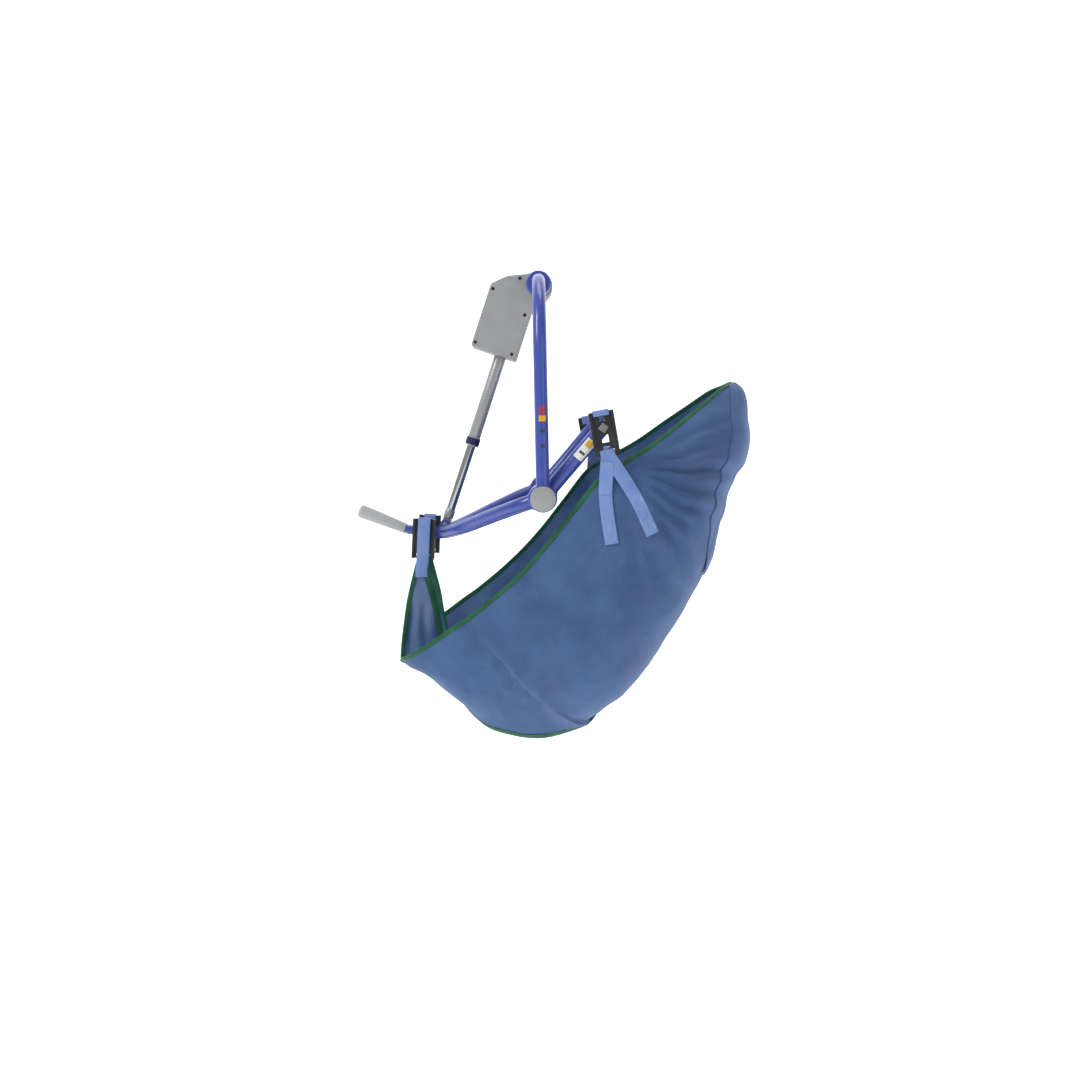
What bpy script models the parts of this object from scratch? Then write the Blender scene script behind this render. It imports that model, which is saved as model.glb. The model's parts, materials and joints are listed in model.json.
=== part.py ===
"""Powered positioning hanger of a patient lift, with its clip sling.

Origin at the centre of the top hub. +X towards the patient's back, -Y the near side, +Z up.
The hanger frame hangs from the lift at the hub; the tilt frame swings about the two hoop pivots,
pushed by the linear actuator in the middle plane.
"""
import math

import bmesh
import bpy
from mathutils import Matrix, Vector

MM = 0.001
GAP = 0.3 * MM                 # left between pieces that touch
RUN = 0.25 * MM                # running clearance, on the radius, of pins and bushes

# ---- driving dimensions -------------------------------------------------------------------

HUB_R = 24.5 * MM              # round ends of the top hub
HUB_END_IN = 50 * MM           # inner face of a hub end, from the middle plane
HUB_END_OUT = 75 * MM
HUB_SHAFT_R = 12.5 * MM
HUB_RIM = 6 * MM               # outer part of a hub end, bored to suit the hoop's tube

HOOP_HALF = 250 * MM           # middle plane to the centre line of a hoop leg
HOOP_BEND_R = 150 * MM
LEG_TUBE_R = 12.5 * MM
TUBE_WALL = 2.5 * MM
PIVOT_X = 8.5 * MM
PIVOT_Z = -415 * MM

EYE_R = 24.5 * MM
EYE_LENGTH = 27 * MM
PIN_R = 9 * MM
BUSH_WALL = 2.5 * MM
BUSH_FLANGE = 1.5 * MM
SLEEVE_R = 27 * MM
SLEEVE_LENGTH = 38 * MM
CAP_R = 23.5 * MM
CAP_HEIGHT = 8 * MM

ARM_R = 14 * MM                # arms of the tilt frame
SHOULDER_X = 118 * MM          # centre of the shoulder lug
SHOULDER_Z = -285 * MM
SHOULDER_Y = 240 * MM          # end of the shoulder arm, from the middle plane

FRONT_X = -192.5 * MM          # rod pin, on the middle plane
FRONT_Z = -482 * MM
FORK_FRONT = -214 * MM         # the fork bracket's front and rear ends
FORK_REAR = -183 * MM
FORK_BOTTOM = -510 * MM
FORK_SLOT = 13.5 * MM          # half the slot that the rod end sits in
EAR_THICK = 6 * MM
EAR_R = 11 * MM
FORK_BASE = 5 * MM
ROD_PIN_R = 5 * MM
FRONT_BAR_R = 12.5 * MM
STUB_R = 9 * MM
ARM_LAP = 13 * MM              # a leg arm reaches this far in from the fork's rear end
ARM_END_Y = 11 * MM            # end of a leg arm, from the middle plane
FORK_FRONT_WALL = 3.5 * MM
FORK_LIP = 12 * MM             # height of the fork's front wall
STUB_NECK = 4 * MM             # turns the stub into the grip's direction
LEG_LUG_X = -232 * MM
LUG_ABOVE = 10 * MM            # the lug sits this far above a clip's middle
LEG_CLIP_Y = 52 * MM           # inner face of a leg clip, from the middle plane
LEG_CLIP_LEAN = 3              # degrees
SHOULDER_CLIP_LEAN = -10

GRIP_X = -272 * MM
GRIP_Z = -492.5 * MM
GRIP_LENGTH = 107 * MM
GRIP_R_IN = 10.5 * MM
GRIP_R_OUT = 13.75 * MM
GRIP_RISE = 21.6               # degrees above level, going forward
SPIGOT_R = 6 * MM
SPIGOT_LENGTH = 60 * MM

ACTUATOR_LEAN = 18.4           # degrees between the actuator's axis and the vertical
SPINDLE_W = -30.5 * MM         # spindle axis, across from the hub's centre
MOTOR_W = -69 * MM
COVER_HALF = 35 * MM           # half the housing's thickness
COVER_WALL = 2.5 * MM
COVER_TOP = 24.5 * MM          # corner below the sloping top, along the actuator from the hub
COVER_BOTTOM = 156 * MM
COVER_LEFT = -92 * MM
COVER_RIGHT = 2.5 * MM
COVER_CORNER_R = 5 * MM
NOSE_R = 28 * MM
SCREW_R = 1.7 * MM
SCREW_HEAD_R = 3.4 * MM
POST_R = 3.5 * MM
EYE_BLOCK_R = 21 * MM
REAR_BUSH_WALL = 2.3 * MM
BLOCK_HALF_W = 18 * MM         # gear block, either side of the spindle
BLOCK_FAR = 31.8 * MM          # its far face
BLOCK_NEAR = -15.5 * MM
BLOCK_END = 46 * MM
FLANGE_START = 59.5 * MM       # motor flange
FLANGE_END = 65.5 * MM
SOCKET_START = 118 * MM        # holds the outer tube
SOCKET_END = 142 * MM
MOTOR_R = 18.5 * MM
MOTOR_LENGTH = 73 * MM
SPINDLE_R = 5.5 * MM
SPINDLE_TOP = 24 * MM
SPINDLE_END = 300 * MM
BEARING_R = 11 * MM
GEAR_START = 50 * MM
GEAR_WIDTH = 8 * MM
GEAR_TEETH = 16
PINION_TEETH = 8
TOOTH_OUT = 1.2 * MM
TOOTH_IN = 2.4 * MM
OUTER_TUBE_R = 12.5 * MM
OUTER_TUBE_WALL = 2 * MM
OUTER_TUBE_END = 334 * MM
COLLAR_R = 14.5 * MM
COLLAR_LENGTH = 14 * MM
ROD_R = 9 * MM
ROD_WALL = 2 * MM
ROD_TOP = 235 * MM             # upper end of the push rod, inside the outer tube
ROD_END_R = 10.5 * MM
ROD_END_LENGTH = 19 * MM
TONGUE_R = 9 * MM
TONGUE_HALF = 8 * MM
NUT_LENGTH = 13 * MM

CLIP_WIDTH = 46 * MM
CLIP_HEIGHT = 80 * MM
CLIP_THICK = 5 * MM
CLIP_RAIL = 5 * MM             # height and width of the side rails
LUG_R = 5 * MM
LUG_COLLAR_R = 9 * MM
LUG_HEAD = 14 * MM
LUG_HEAD_THICK = 3.5 * MM
WEBBING_WIDTH = 25 * MM
WEBBING_THICK = 2 * MM
CLOTH = 4 * MM                 # thickness that the sling's solid is given
BATTEN = (16 * MM, 2.5 * MM)   # width and thickness of a head batten

# ---- materials ----------------------------------------------------------------------------

PAINT_BLUE = ("blue powder coat", "4C5CA4", 0.3, 0.2)
HOUSING_GREY = ("grey ABS", "A9A9A9", 0.5, 0.0)
TUBE_GREY = ("grey lacquered aluminium", "A8A8A8", 0.35, 0.3)
COLLAR_NAVY = ("navy nylon", "151F4C", 0.4, 0.0)
CHROME = ("chromed steel", "B8B8B8", 0.12, 1.0)
STEEL = ("zinc-plated steel", "9A9A98", 0.35, 1.0)
CAST = ("cast aluminium", "A0A0A0", 0.5, 1.0)
NYLON = ("white nylon", "DAD8D0", 0.5, 0.0)
BRONZE = ("sintered bronze", "9C7A4A", 0.4, 1.0)
CLIP_BLACK = ("black nylon", "24272A", 0.45, 0.0)
SCREW_DARK = ("blackened steel", "4A4540", 0.4, 1.0)
GRIP_GREY = ("grey moulded grip", "B0B0B0", 0.55, 0.0)
BOARD_GREEN = ("circuit board", "2C5A3A", 0.6, 0.0)
MESH_BLUE = ("blue polyester mesh", "4C6994", 0.85, 0.0)
WEBBING_BLUE = ("light blue webbing", "7E9ACC", 0.8, 0.0)


def linear(hex_colour):
    """sRGB hex to the linear colour that a shader takes."""
    channels = [int(hex_colour[i:i + 2], 16) / 255 for i in (0, 2, 4)]
    return [c / 12.92 if c <= 0.04045 else ((c + 0.055) / 1.055) ** 2.4 for c in channels] + [1.0]


def material(spec):
    name, hex_colour, roughness, metallic = spec
    found = bpy.data.materials.get(name)
    if found:
        return found
    made = bpy.data.materials.new(name)
    made.use_nodes = True
    shader = made.node_tree.nodes["Principled BSDF"]
    shader.inputs["Base Color"].default_value = linear(hex_colour)
    shader.inputs["Roughness"].default_value = roughness
    shader.inputs["Metallic"].default_value = metallic
    return made


# ---- building blocks ----------------------------------------------------------------------

def frame_empty(name, place, lean=0.0):
    """An empty on a joint's axis, that the pieces of one moving body hang under."""
    empty = bpy.data.objects.new(name, None)
    empty.matrix_world = Matrix.Translation(place) @ Matrix.Rotation(math.radians(lean), 4, "Y")
    bpy.context.scene.collection.objects.link(empty)
    return empty


def add_piece(name, bm, spec, body, smooth_angle=40):
    """One named solid; bm is in the hanger's frame and is carried into its body's own."""
    bm.transform(body.matrix_world.inverted())
    mesh = bpy.data.meshes.new(name)
    bm.to_mesh(mesh)
    bm.free()
    mesh.materials.append(material(spec))
    mesh.shade_smooth()
    mesh.set_sharp_from_angle(angle=math.radians(smooth_angle))
    piece = bpy.data.objects.new(name, mesh)
    bpy.context.scene.collection.objects.link(piece)
    piece.parent = body
    return piece


def shape(piece, operation, bm):
    """A Boolean on a piece, with its tool kept as a hidden wire object."""
    bm.transform(piece.parent.matrix_world.inverted())
    mesh = bpy.data.meshes.new(piece.name + "_tool")
    bm.to_mesh(mesh)
    bm.free()
    tool = bpy.data.objects.new(mesh.name, mesh)
    bpy.context.scene.collection.objects.link(tool)
    tool.parent = piece.parent
    tool.hide_render = True
    tool.display_type = "WIRE"
    modifier = piece.modifiers.new(operation.lower(), "BOOLEAN")
    modifier.operation = operation
    modifier.object = tool


def axis_matrix(start, end):
    """Carries a shape made along +Z from the origin to the line from start to end."""
    start, end = Vector(start), Vector(end)
    turn = (end - start).to_track_quat("Z", "Y").to_matrix().to_4x4()
    return Matrix.Translation(start) @ turn


def solid_of(bm_parts):
    """Several closed shapes in one bmesh."""
    joined = bmesh.new()
    for part in bm_parts:
        mesh = bpy.data.meshes.new("part")
        part.to_mesh(mesh)
        part.free()
        joined.from_mesh(mesh)
        bpy.data.meshes.remove(mesh)
    return joined


def rod(start, end, radius, end_radius=None, segments=24):
    """A round bar, or a cone where end_radius is given."""
    length = (Vector(end) - Vector(start)).length
    bm = bmesh.new()
    bmesh.ops.create_cone(bm, cap_ends=True, segments=segments, radius1=radius,
                          radius2=radius if end_radius is None else end_radius, depth=length)
    bmesh.ops.translate(bm, verts=bm.verts, vec=(0, 0, length / 2))
    bm.transform(axis_matrix(start, end))
    return bm


def turned(start, end, profile, segments=24):
    """A turned shape: profile is a closed outline of (distance along, radius) from start."""
    bm = bmesh.new()
    points = [bm.verts.new((radius, 0, along)) for along, radius in profile]
    loop = [bm.edges.new(pair) for pair in zip(points, points[1:] + points[:1])]
    bmesh.ops.spin(bm, geom=points + loop, cent=(0, 0, 0), axis=(0, 0, 1), angle=math.tau,
                   steps=segments, use_merge=True, use_duplicate=False)
    bmesh.ops.remove_doubles(bm, verts=bm.verts, dist=1e-6)
    bmesh.ops.recalc_face_normals(bm, faces=bm.faces)
    bm.transform(axis_matrix(start, end))
    return bm


def ring(start, end, outer, inner, segments=24):
    length = (Vector(end) - Vector(start)).length
    return turned(start, end, [(0, inner), (0, outer), (length, outer), (length, inner)], segments)


def block(low, high):
    low, high = Vector(low), Vector(high)
    bm = bmesh.new()
    bmesh.ops.create_cube(bm, size=1)
    bmesh.ops.scale(bm, verts=bm.verts, vec=high - low)
    bmesh.ops.translate(bm, verts=bm.verts, vec=(low + high) / 2)
    return bm


def prism(outline, low_y, high_y):
    """An (x, z) outline, anticlockwise as seen from the near side, extruded along Y."""
    bm = bmesh.new()
    face = bm.faces.new([bm.verts.new((x, low_y, z)) for x, z in outline])
    grown = bmesh.ops.extrude_face_region(bm, geom=[face])["geom"]
    raised = [item for item in grown if isinstance(item, bmesh.types.BMVert)]
    bmesh.ops.translate(bm, verts=raised, vec=(0, high_y - low_y, 0))
    bmesh.ops.recalc_face_normals(bm, faces=bm.faces)
    return bm


def arc(centre, radius, first, last, steps):
    """Points on a round stretch of an outline, angles in degrees."""
    angles = [math.radians(first + (last - first) * i / steps) for i in range(steps + 1)]
    return [(centre[0] + radius * math.cos(a), centre[1] + radius * math.sin(a)) for a in angles]


def curve_through(points, per_span):
    """Points on a smooth curve through the given ones (Catmull-Rom)."""
    points = [Vector(p) for p in points]
    ends = [2 * points[0] - points[1]] + points + [2 * points[-1] - points[-2]]
    line = []
    for a, b, c, d in zip(ends, ends[1:], ends[2:], ends[3:]):
        for i in range(per_span):
            t = i / per_span
            line.append(0.5 * (2 * b + (c - a) * t + (2 * a - 5 * b + 4 * c - d) * t ** 2
                               + (3 * b - a - 3 * c + d) * t ** 3))
    return line + [points[-1]]


def directions(line):
    """The direction of travel at each point of a line."""
    back, ahead = [line[0]] + line[:-1], line[1:] + [line[-1]]
    return [(b - a).normalized() for a, b in zip(back, ahead)]


def swept(sections):
    """Joins rings of points, one ring for each place along a path, into one closed solid."""
    bm = bmesh.new()
    rings = [[bm.verts.new(p) for p in section] for section in sections]
    for one, two in zip(rings, rings[1:]):
        for i in range(len(one)):
            j = (i + 1) % len(one)
            bm.faces.new((one[i], one[j], two[j], two[i]))
    bm.faces.new(rings[0])
    bm.faces.new(rings[-1])
    bmesh.ops.recalc_face_normals(bm, faces=bm.faces)
    return bm


def rings_along(line, radius, segments=12):
    """A ring of points round each point of a line, carried on without a twist."""
    line = [Vector(p) for p in line]
    normal = directions(line)[0].orthogonal()
    turns = [math.tau * i / segments for i in range(segments)]
    rings = []
    for point, along in zip(line, directions(line)):
        normal = (normal - along * normal.dot(along)).normalized()
        side = along.cross(normal)
        rings.append([point + radius * (math.cos(a) * normal + math.sin(a) * side) for a in turns])
    return rings


def tube(line, radius, wall):
    """A bent tube with open ends along a line of points."""
    bm = bmesh.new()
    outer, inner = ([[bm.verts.new(p) for p in ring] for ring in rings_along(line, r)]
                    for r in (radius, radius - wall))
    for rings in (outer, inner):
        for one, two in zip(rings, rings[1:]):
            for i in range(len(one)):
                j = (i + 1) % len(one)
                bm.faces.new((one[i], one[j], two[j], two[i]))
    for out, bore in ((outer[0], inner[0]), (outer[-1], inner[-1])):
        for i in range(len(out)):
            j = (i + 1) % len(out)
            bm.faces.new((out[i], out[j], bore[j], bore[i]))
    bmesh.ops.recalc_face_normals(bm, faces=bm.faces)
    return bm


def strip(line, flats, width, thick):
    """A flat strap along a line; flats gives the direction across its width at each point."""
    sections = []
    for point, along, across in zip(line, directions(line), flats):
        across = (across - along * across.dot(along)).normalized()
        up = along.cross(across)
        sections.append([point + across * width / 2 * i + up * thick / 2 * j
                         for i, j in ((-1, -1), (1, -1), (1, 1), (-1, 1))])
    return swept(sections)


# ---- hanger frame -------------------------------------------------------------------------

PIVOT = Vector((PIVOT_X, 0, PIVOT_Z))
HOOP_LEAN = PIVOT_X / PIVOT_Z                      # the hoop leans back by this much per metre
SLEEVE_IN = HOOP_HALF - EYE_LENGTH / 2 - BUSH_FLANGE - 2 * GAP - SLEEVE_LENGTH
SLEEVE_OUT = SLEEVE_IN + SLEEVE_LENGTH
EYE_IN = HOOP_HALF - EYE_LENGTH / 2
EYE_OUT = HOOP_HALF + EYE_LENGTH / 2
SIDES = (("near", -1), ("far", 1))


def at_pivot(side, distance):
    return Vector((PIVOT_X, side * distance, PIVOT_Z))


def build_hub(body):
    """Each hoop leg butts on the shaft's end and the rim round it, both of the tube's size."""
    length = 2 * HUB_END_OUT
    step = HUB_RIM + GAP
    profile = [(0, 0), (0, LEG_TUBE_R), (step, LEG_TUBE_R), (step, HUB_SHAFT_R),
               (length - step, HUB_SHAFT_R), (length - step, LEG_TUBE_R), (length, LEG_TUBE_R),
               (length, 0)]
    shaft = turned((0, -HUB_END_OUT, 0), (0, HUB_END_OUT, 0), profile)
    add_piece("hub_shaft", shaft, STEEL, body)
    length = HUB_END_OUT - HUB_END_IN
    bore, rim_bore = HUB_SHAFT_R + GAP, LEG_TUBE_R + GAP
    profile = [(0, bore), (0, HUB_R), (length, HUB_R), (length, rim_bore),
               (length - HUB_RIM, rim_bore), (length - HUB_RIM, bore)]
    for label, side in SIDES:
        end = turned((0, side * HUB_END_IN, 0), (0, side * HUB_END_OUT, 0), profile,
                     segments=32)
        add_piece(f"hub_end_{label}", end, PAINT_BLUE, body)


def hoop_line(side):
    """Centre line of a hoop leg, from the hub end out, round the bend and down to the eye."""
    start = HUB_END_OUT + GAP
    bend_start = HOOP_HALF - HOOP_BEND_R
    flat = [(start, 0.0)]
    flat += arc((bend_start, -HOOP_BEND_R), HOOP_BEND_R, 90, 0, 10)
    flat += [(HOOP_HALF, PIVOT_Z)]
    return [Vector((HOOP_LEAN * z, side * y, z)) for y, z in flat]


def build_hoop(body):
    for label, side in SIDES:
        leg = add_piece(f"hoop_leg_{label}", tube(hoop_line(side), LEG_TUBE_R, TUBE_WALL),
                        PAINT_BLUE, body)
        saddle = rod(at_pivot(side, EYE_IN - ARM_R), at_pivot(side, EYE_OUT + ARM_R),
                     EYE_R + GAP, segments=32)
        below = block(PIVOT + Vector((-EYE_R, side * HOOP_HALF - EYE_R, -EYE_R)),
                      PIVOT + Vector((EYE_R, side * HOOP_HALF + EYE_R, 0)))
        shape(leg, "DIFFERENCE", saddle)
        shape(leg, "DIFFERENCE", below)
        eye = ring(at_pivot(side, EYE_IN), at_pivot(side, EYE_OUT), EYE_R, PIN_R + GAP,
                   segments=32)
        add_piece(f"hoop_eye_{label}", eye, PAINT_BLUE, body)


def build_pivots(body):
    """Pin and cap of each pivot; the bush belongs to the tilt frame's sleeve."""
    for label, side in SIDES:
        pin = rod(at_pivot(side, SLEEVE_IN - BUSH_FLANGE), at_pivot(side, EYE_OUT), PIN_R)
        add_piece(f"pivot_pin_{label}", pin, STEEL, body)
        crown = CAP_HEIGHT - 3 * MM
        profile = [(0, 0), (0, CAP_R), (crown, CAP_R), (CAP_HEIGHT - MM, CAP_R - 2 * MM),
                   (CAP_HEIGHT, CAP_R - 6 * MM), (CAP_HEIGHT, 0)]
        cap = turned(at_pivot(side, EYE_OUT + GAP), at_pivot(side, EYE_OUT + 2 * CAP_HEIGHT),
                     profile, segments=32)
        add_piece(f"pivot_cap_{label}", cap, HOUSING_GREY, body)


# ---- tilt frame ---------------------------------------------------------------------------

def build_sleeves(body):
    bush_r = PIN_R + RUN + BUSH_WALL
    for label, side in SIDES:
        sleeve = ring(at_pivot(side, SLEEVE_IN), at_pivot(side, SLEEVE_OUT), SLEEVE_R,
                      bush_r + GAP, segments=32)
        add_piece(f"pivot_sleeve_{label}", sleeve, PAINT_BLUE, body)
        length = SLEEVE_LENGTH + BUSH_FLANGE + GAP
        bore = PIN_R + RUN
        profile = [(0, bore), (0, bush_r), (SLEEVE_LENGTH + GAP, bush_r),
                   (SLEEVE_LENGTH + GAP, bush_r + 6 * MM), (length, bush_r + 6 * MM),
                   (length, bore)]
        bush = turned(at_pivot(side, SLEEVE_IN), at_pivot(side, SLEEVE_OUT), profile)
        add_piece(f"pivot_bush_{label}", bush, NYLON, body)


ARM_Y = SLEEVE_IN + SLEEVE_LENGTH / 2              # both arms leave the middle of the sleeve
SHOULDER = Vector((SHOULDER_X, 0, SHOULDER_Z))
FRONT_PIN = Vector((FRONT_X, 0, FRONT_Z))
FORK_HALF = FORK_SLOT + EAR_THICK
FRONT_BAR_START = Vector((FORK_FRONT - GAP, 0, FORK_BOTTOM + FRONT_BAR_R - 1.5 * MM))
GRIP_START = Vector((GRIP_X, 0, GRIP_Z))
GRIP_WAY = Vector((-math.cos(math.radians(GRIP_RISE)), 0, math.sin(math.radians(GRIP_RISE))))


def leg_arm_line(side):
    """From the sleeve forward and down, drawing in to the fork bracket."""
    end = Vector((FORK_REAR - ARM_LAP, side * ARM_END_Y, FORK_BOTTOM + ARM_R))
    start = at_pivot(side, ARM_Y)
    route = [(0, 0, 0), (0.22, 0.07, 0.2), (0.48, 0.33, 0.48), (0.74, 0.64, 0.78),
             (0.93, 0.91, 0.97)]
    points = [Vector(s + share * (e - s) for s, e, share in zip(start, end, shares))
              for shares in route]
    return curve_through(points + [end], 2)


def shoulder_arm_line(side):
    """From the sleeve up and back to the shoulder lug, with a slight bend outwards."""
    start = at_pivot(side, ARM_Y)
    end = SHOULDER + Vector((0, side * SHOULDER_Y, 0))
    end += (SHOULDER - PIVOT).normalized() * ARM_R
    bend = start.lerp(end, 0.55) - Vector((0, side * 4 * MM, 0))
    return curve_through([start, bend, end], 4)


def build_arms(body):
    bracket_space = (Vector((FORK_FRONT - GAP, -FORK_HALF - GAP, FORK_BOTTOM - 2 * ARM_R)),
                     Vector((FORK_REAR + GAP, FORK_HALF + GAP, FRONT_Z + 2 * ARM_R)))
    for label, side in SIDES:
        ends = at_pivot(side, SLEEVE_IN - ARM_R), at_pivot(side, SLEEVE_OUT + ARM_R)
        shoulder = add_piece(f"shoulder_arm_{label}", tube(shoulder_arm_line(side), ARM_R, TUBE_WALL),
                             PAINT_BLUE, body)
        shape(shoulder, "DIFFERENCE", rod(*ends, SLEEVE_R + GAP, segments=32))
        leg = add_piece(f"leg_arm_{label}", tube(leg_arm_line(side), ARM_R, TUBE_WALL),
                        PAINT_BLUE, body)
        shape(leg, "DIFFERENCE", rod(*ends, SLEEVE_R + GAP, segments=32))
        shape(leg, "DIFFERENCE", block(*bracket_space))


def build_front(body):
    bar = add_piece("front_bar", rod(FRONT_BAR_START, GRIP_START, FRONT_BAR_R, STUB_R),
                    PAINT_BLUE, body)
    shape(bar, "UNION", rod(GRIP_START - GRIP_WAY * STUB_R, GRIP_START + GRIP_WAY * STUB_NECK,
                            STUB_R))
    shape(bar, "UNION", rod(GRIP_START, GRIP_START + GRIP_WAY * SPIGOT_LENGTH, SPIGOT_R))
    crown = 6 * MM
    bore = SPIGOT_R + GAP
    depth = SPIGOT_LENGTH + GAP
    profile = [(STUB_NECK + GAP, bore), (STUB_NECK + GAP, GRIP_R_IN),
               (GRIP_LENGTH - crown, GRIP_R_OUT)]
    profile += [(GRIP_LENGTH - crown + crown * math.sin(math.radians(a)),
                 GRIP_R_OUT - crown * (1 - math.cos(math.radians(a)))) for a in (30, 60, 90)]
    profile += [(GRIP_LENGTH, 0), (depth, 0), (depth, bore)]
    grip = turned(GRIP_START, GRIP_START + GRIP_WAY * GRIP_LENGTH, profile)
    add_piece("handle_grip", grip, GRIP_GREY, body)

    ear = [(FORK_FRONT, FORK_BOTTOM), (FORK_REAR, FORK_BOTTOM), (FORK_REAR, FRONT_Z)]
    ear += arc((FRONT_X, FRONT_Z), EAR_R, 30, 160, 8)
    ear += [(FORK_FRONT, FORK_BOTTOM + FORK_LIP)]
    fork = add_piece("rod_fork", prism(ear, -FORK_HALF, FORK_HALF), PAINT_BLUE, body)
    over = FRONT_Z + 2 * EAR_R
    slot = block((FORK_FRONT + FORK_FRONT_WALL, -FORK_SLOT, FORK_BOTTOM + FORK_BASE),
                 (FORK_REAR + ARM_R, FORK_SLOT, over))
    front_slot = block((FORK_FRONT - ARM_R, -FORK_SLOT, FORK_BOTTOM + FORK_LIP),
                       (FORK_FRONT + ARM_R, FORK_SLOT, over))
    reach = Vector((0, 2 * FORK_HALF, 0))
    pin_hole = rod(FRONT_PIN - reach, FRONT_PIN + reach, ROD_PIN_R + GAP)
    for tool in (slot, front_slot, pin_hole):
        shape(fork, "DIFFERENCE", tool)
    for label, side in SIDES:
        tip = FRONT_PIN + Vector((0, side * (TONGUE_HALF + 2 * GAP), 0))
        flush = FRONT_PIN + Vector((0, side * FORK_HALF, 0))
        add_piece(f"rod_pin_{label}", rod(tip, flush, ROD_PIN_R, segments=16), STEEL, body)


# ---- clips, lugs and webbing --------------------------------------------------------------

LEG_LUG = Vector((LEG_LUG_X, 0, FRONT_BAR_START.z + 2 * MM))


def clip_place(lug, side, inner_face, lean):
    """From a clip's own axes (X across, Z up, -Y outwards, origin at the lug) to the frame."""
    place = Matrix.Translation(Vector((lug.x, side * inner_face, lug.z)))
    place = place @ Matrix.Rotation(math.radians(lean), 4, "Y")
    return place @ Matrix.Diagonal((1, -side, 1, 1))


def mirrored(bm, place):
    """Carries a shape over, turned right side out again where the place mirrors it."""
    bm.transform(place)
    if place.determinant() < 0:
        bmesh.ops.reverse_faces(bm, faces=bm.faces)
    return bm


def build_clip(name, place, body):
    half = CLIP_WIDTH / 2
    top = CLIP_HEIGHT / 2 - LUG_ABOVE
    bottom = top - CLIP_HEIGHT
    face = -CLIP_THICK
    plate = add_piece(name, mirrored(block((-half, face, bottom), (half, 0, top)), place),
                      CLIP_BLACK, body)
    rails = [block((x0, face - CLIP_RAIL, bottom), (x1, -MM, top))
             for x0, x1 in ((-half, CLIP_RAIL - half), (half - CLIP_RAIL, half))]
    shape(plate, "UNION", mirrored(solid_of(rails), place))
    through = 2 * CLIP_THICK
    holes = [rod((0, -through, 0), (0, through, 0), LUG_R + 2 * GAP),
             block((-5 * MM, -through, 12 * MM), (5 * MM, through, 21 * MM)),
             block((-7 * MM, -through, -27 * MM), (7 * MM, through, -13 * MM)),
             block((-14 * MM, -through, bottom + 4 * MM), (14 * MM, through, bottom + 10 * MM))]
    shape(plate, "DIFFERENCE", mirrored(solid_of(holes), place))


def build_lug(name, place, root, body):
    """A stud from the arm through the clip, with a collar behind it and a square head."""
    collar_end = GAP
    head_start = -CLIP_THICK - GAP
    lug = add_piece(name, mirrored(rod((0, root, 0), (0, head_start - MM, 0), LUG_R), place),
                    STEEL, body)
    collar = rod((0, root, 0), (0, collar_end, 0), LUG_COLLAR_R)
    half = LUG_HEAD / 2
    head = block((-half, head_start - LUG_HEAD_THICK, -half), (half, head_start, half))
    bmesh.ops.rotate(head, verts=head.verts, cent=(0, 0, 0),
                     matrix=Matrix.Rotation(math.radians(45), 3, "Y"))
    shape(lug, "UNION", mirrored(collar, place))
    shape(lug, "UNION", mirrored(head, place))
    return lug


SHOULDER_STANDOFF = 4 * MM     # between the arm and the back of its clip
SHOULDER_CLIP_Y = SHOULDER_Y + ARM_R + SHOULDER_STANDOFF


def build_clips(body):
    for label, side in SIDES:
        place = clip_place(SHOULDER, side, SHOULDER_CLIP_Y, SHOULDER_CLIP_LEAN)
        build_clip(f"shoulder_clip_{label}", place, body)
        lug = build_lug(f"shoulder_lug_{label}", place, SHOULDER_STANDOFF + ARM_R / 2, body)
        arm_space = swept(rings_along(shoulder_arm_line(side), ARM_R + GAP))
        shape(lug, "DIFFERENCE", arm_space)
        place = clip_place(LEG_LUG, side, LEG_CLIP_Y, LEG_CLIP_LEAN)
        build_clip(f"leg_clip_{label}", place, body)
        bar_side = LEG_CLIP_Y - FRONT_BAR_R - GAP
        build_lug(f"leg_lug_{label}", place, bar_side, body)


# ---- sling --------------------------------------------------------------------------------

# Each row is one station from the top of the head section to the leg clip, in millimetres on
# the near half: a point of the middle line (later the seat's hem), one half way across the
# cloth, and one of the outer edge.
STATIONS = (
    ((391, 0, -191), (389, -24, -192), (380, -45, -197)),
    ((408, 0, -212), (403, -55, -213), (358, -78, -207)),
    ((413, 0, -270), (399, -95, -258), (322, -120, -234)),
    ((409, 0, -337), (386, -138, -315), (274, -165, -269)),
    ((386, 0, -385), (351, -172, -372), (216, -205, -312)),
    ((375, 0, -430), (318, -202, -425), (150, -243, -351)),
    ((366, 0, -482), (285, -226, -478), (108, -252, -379)),
    ((356, 0, -532), (258, -240, -540), (62, -246, -438)),
    ((326, 0, -605), (215, -246, -622), (8, -238, -507)),
    ((271, 0, -694), (160, -240, -710), (-40, -233, -560)),
    ((200, 0, -782), (100, -225, -790), (-88, -220, -604)),
    ((118, 0, -872), (38, -200, -826), (-135, -210, -642)),
    ((103, -70, -882), (18, -198, -818), (-149, -207, -652)),
    ((70, -98, -891), (-18, -195, -806), (-175, -202, -670)),
    ((10, -122, -900), (-82, -187, -806), (-212, -192, -697)),
    ((-50, -125, -894), (-140, -172, -806), (-245, -178, -718)),
    ((-108, -112, -876), (-190, -150, -790), (-268, -150, -733)),
    ((-150, -80, -832), (-215, -102, -778), (-275, -110, -745)),
    ((-180, -50, -760), (-228, -60, -745), (-278, -70, -720)),
    ((-200, -45, -680), (-238, -47, -680), (-274, -50, -672)),
    ((-210, -48, -625), (-238, -50, -625), (-266, -52, -625)),
    ((-228, -57, -558), (-238, -57, -558), (-249, -58, -558)),
)
CROSS_STEPS = 7
LAST = len(STATIONS) - 1
SHOULDER_BANDS = (((6.15, 0.95), (6.6, 0.9), (7.15, 0.825)), ((5.85, 0.85), (6.5, 0.7)))
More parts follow.
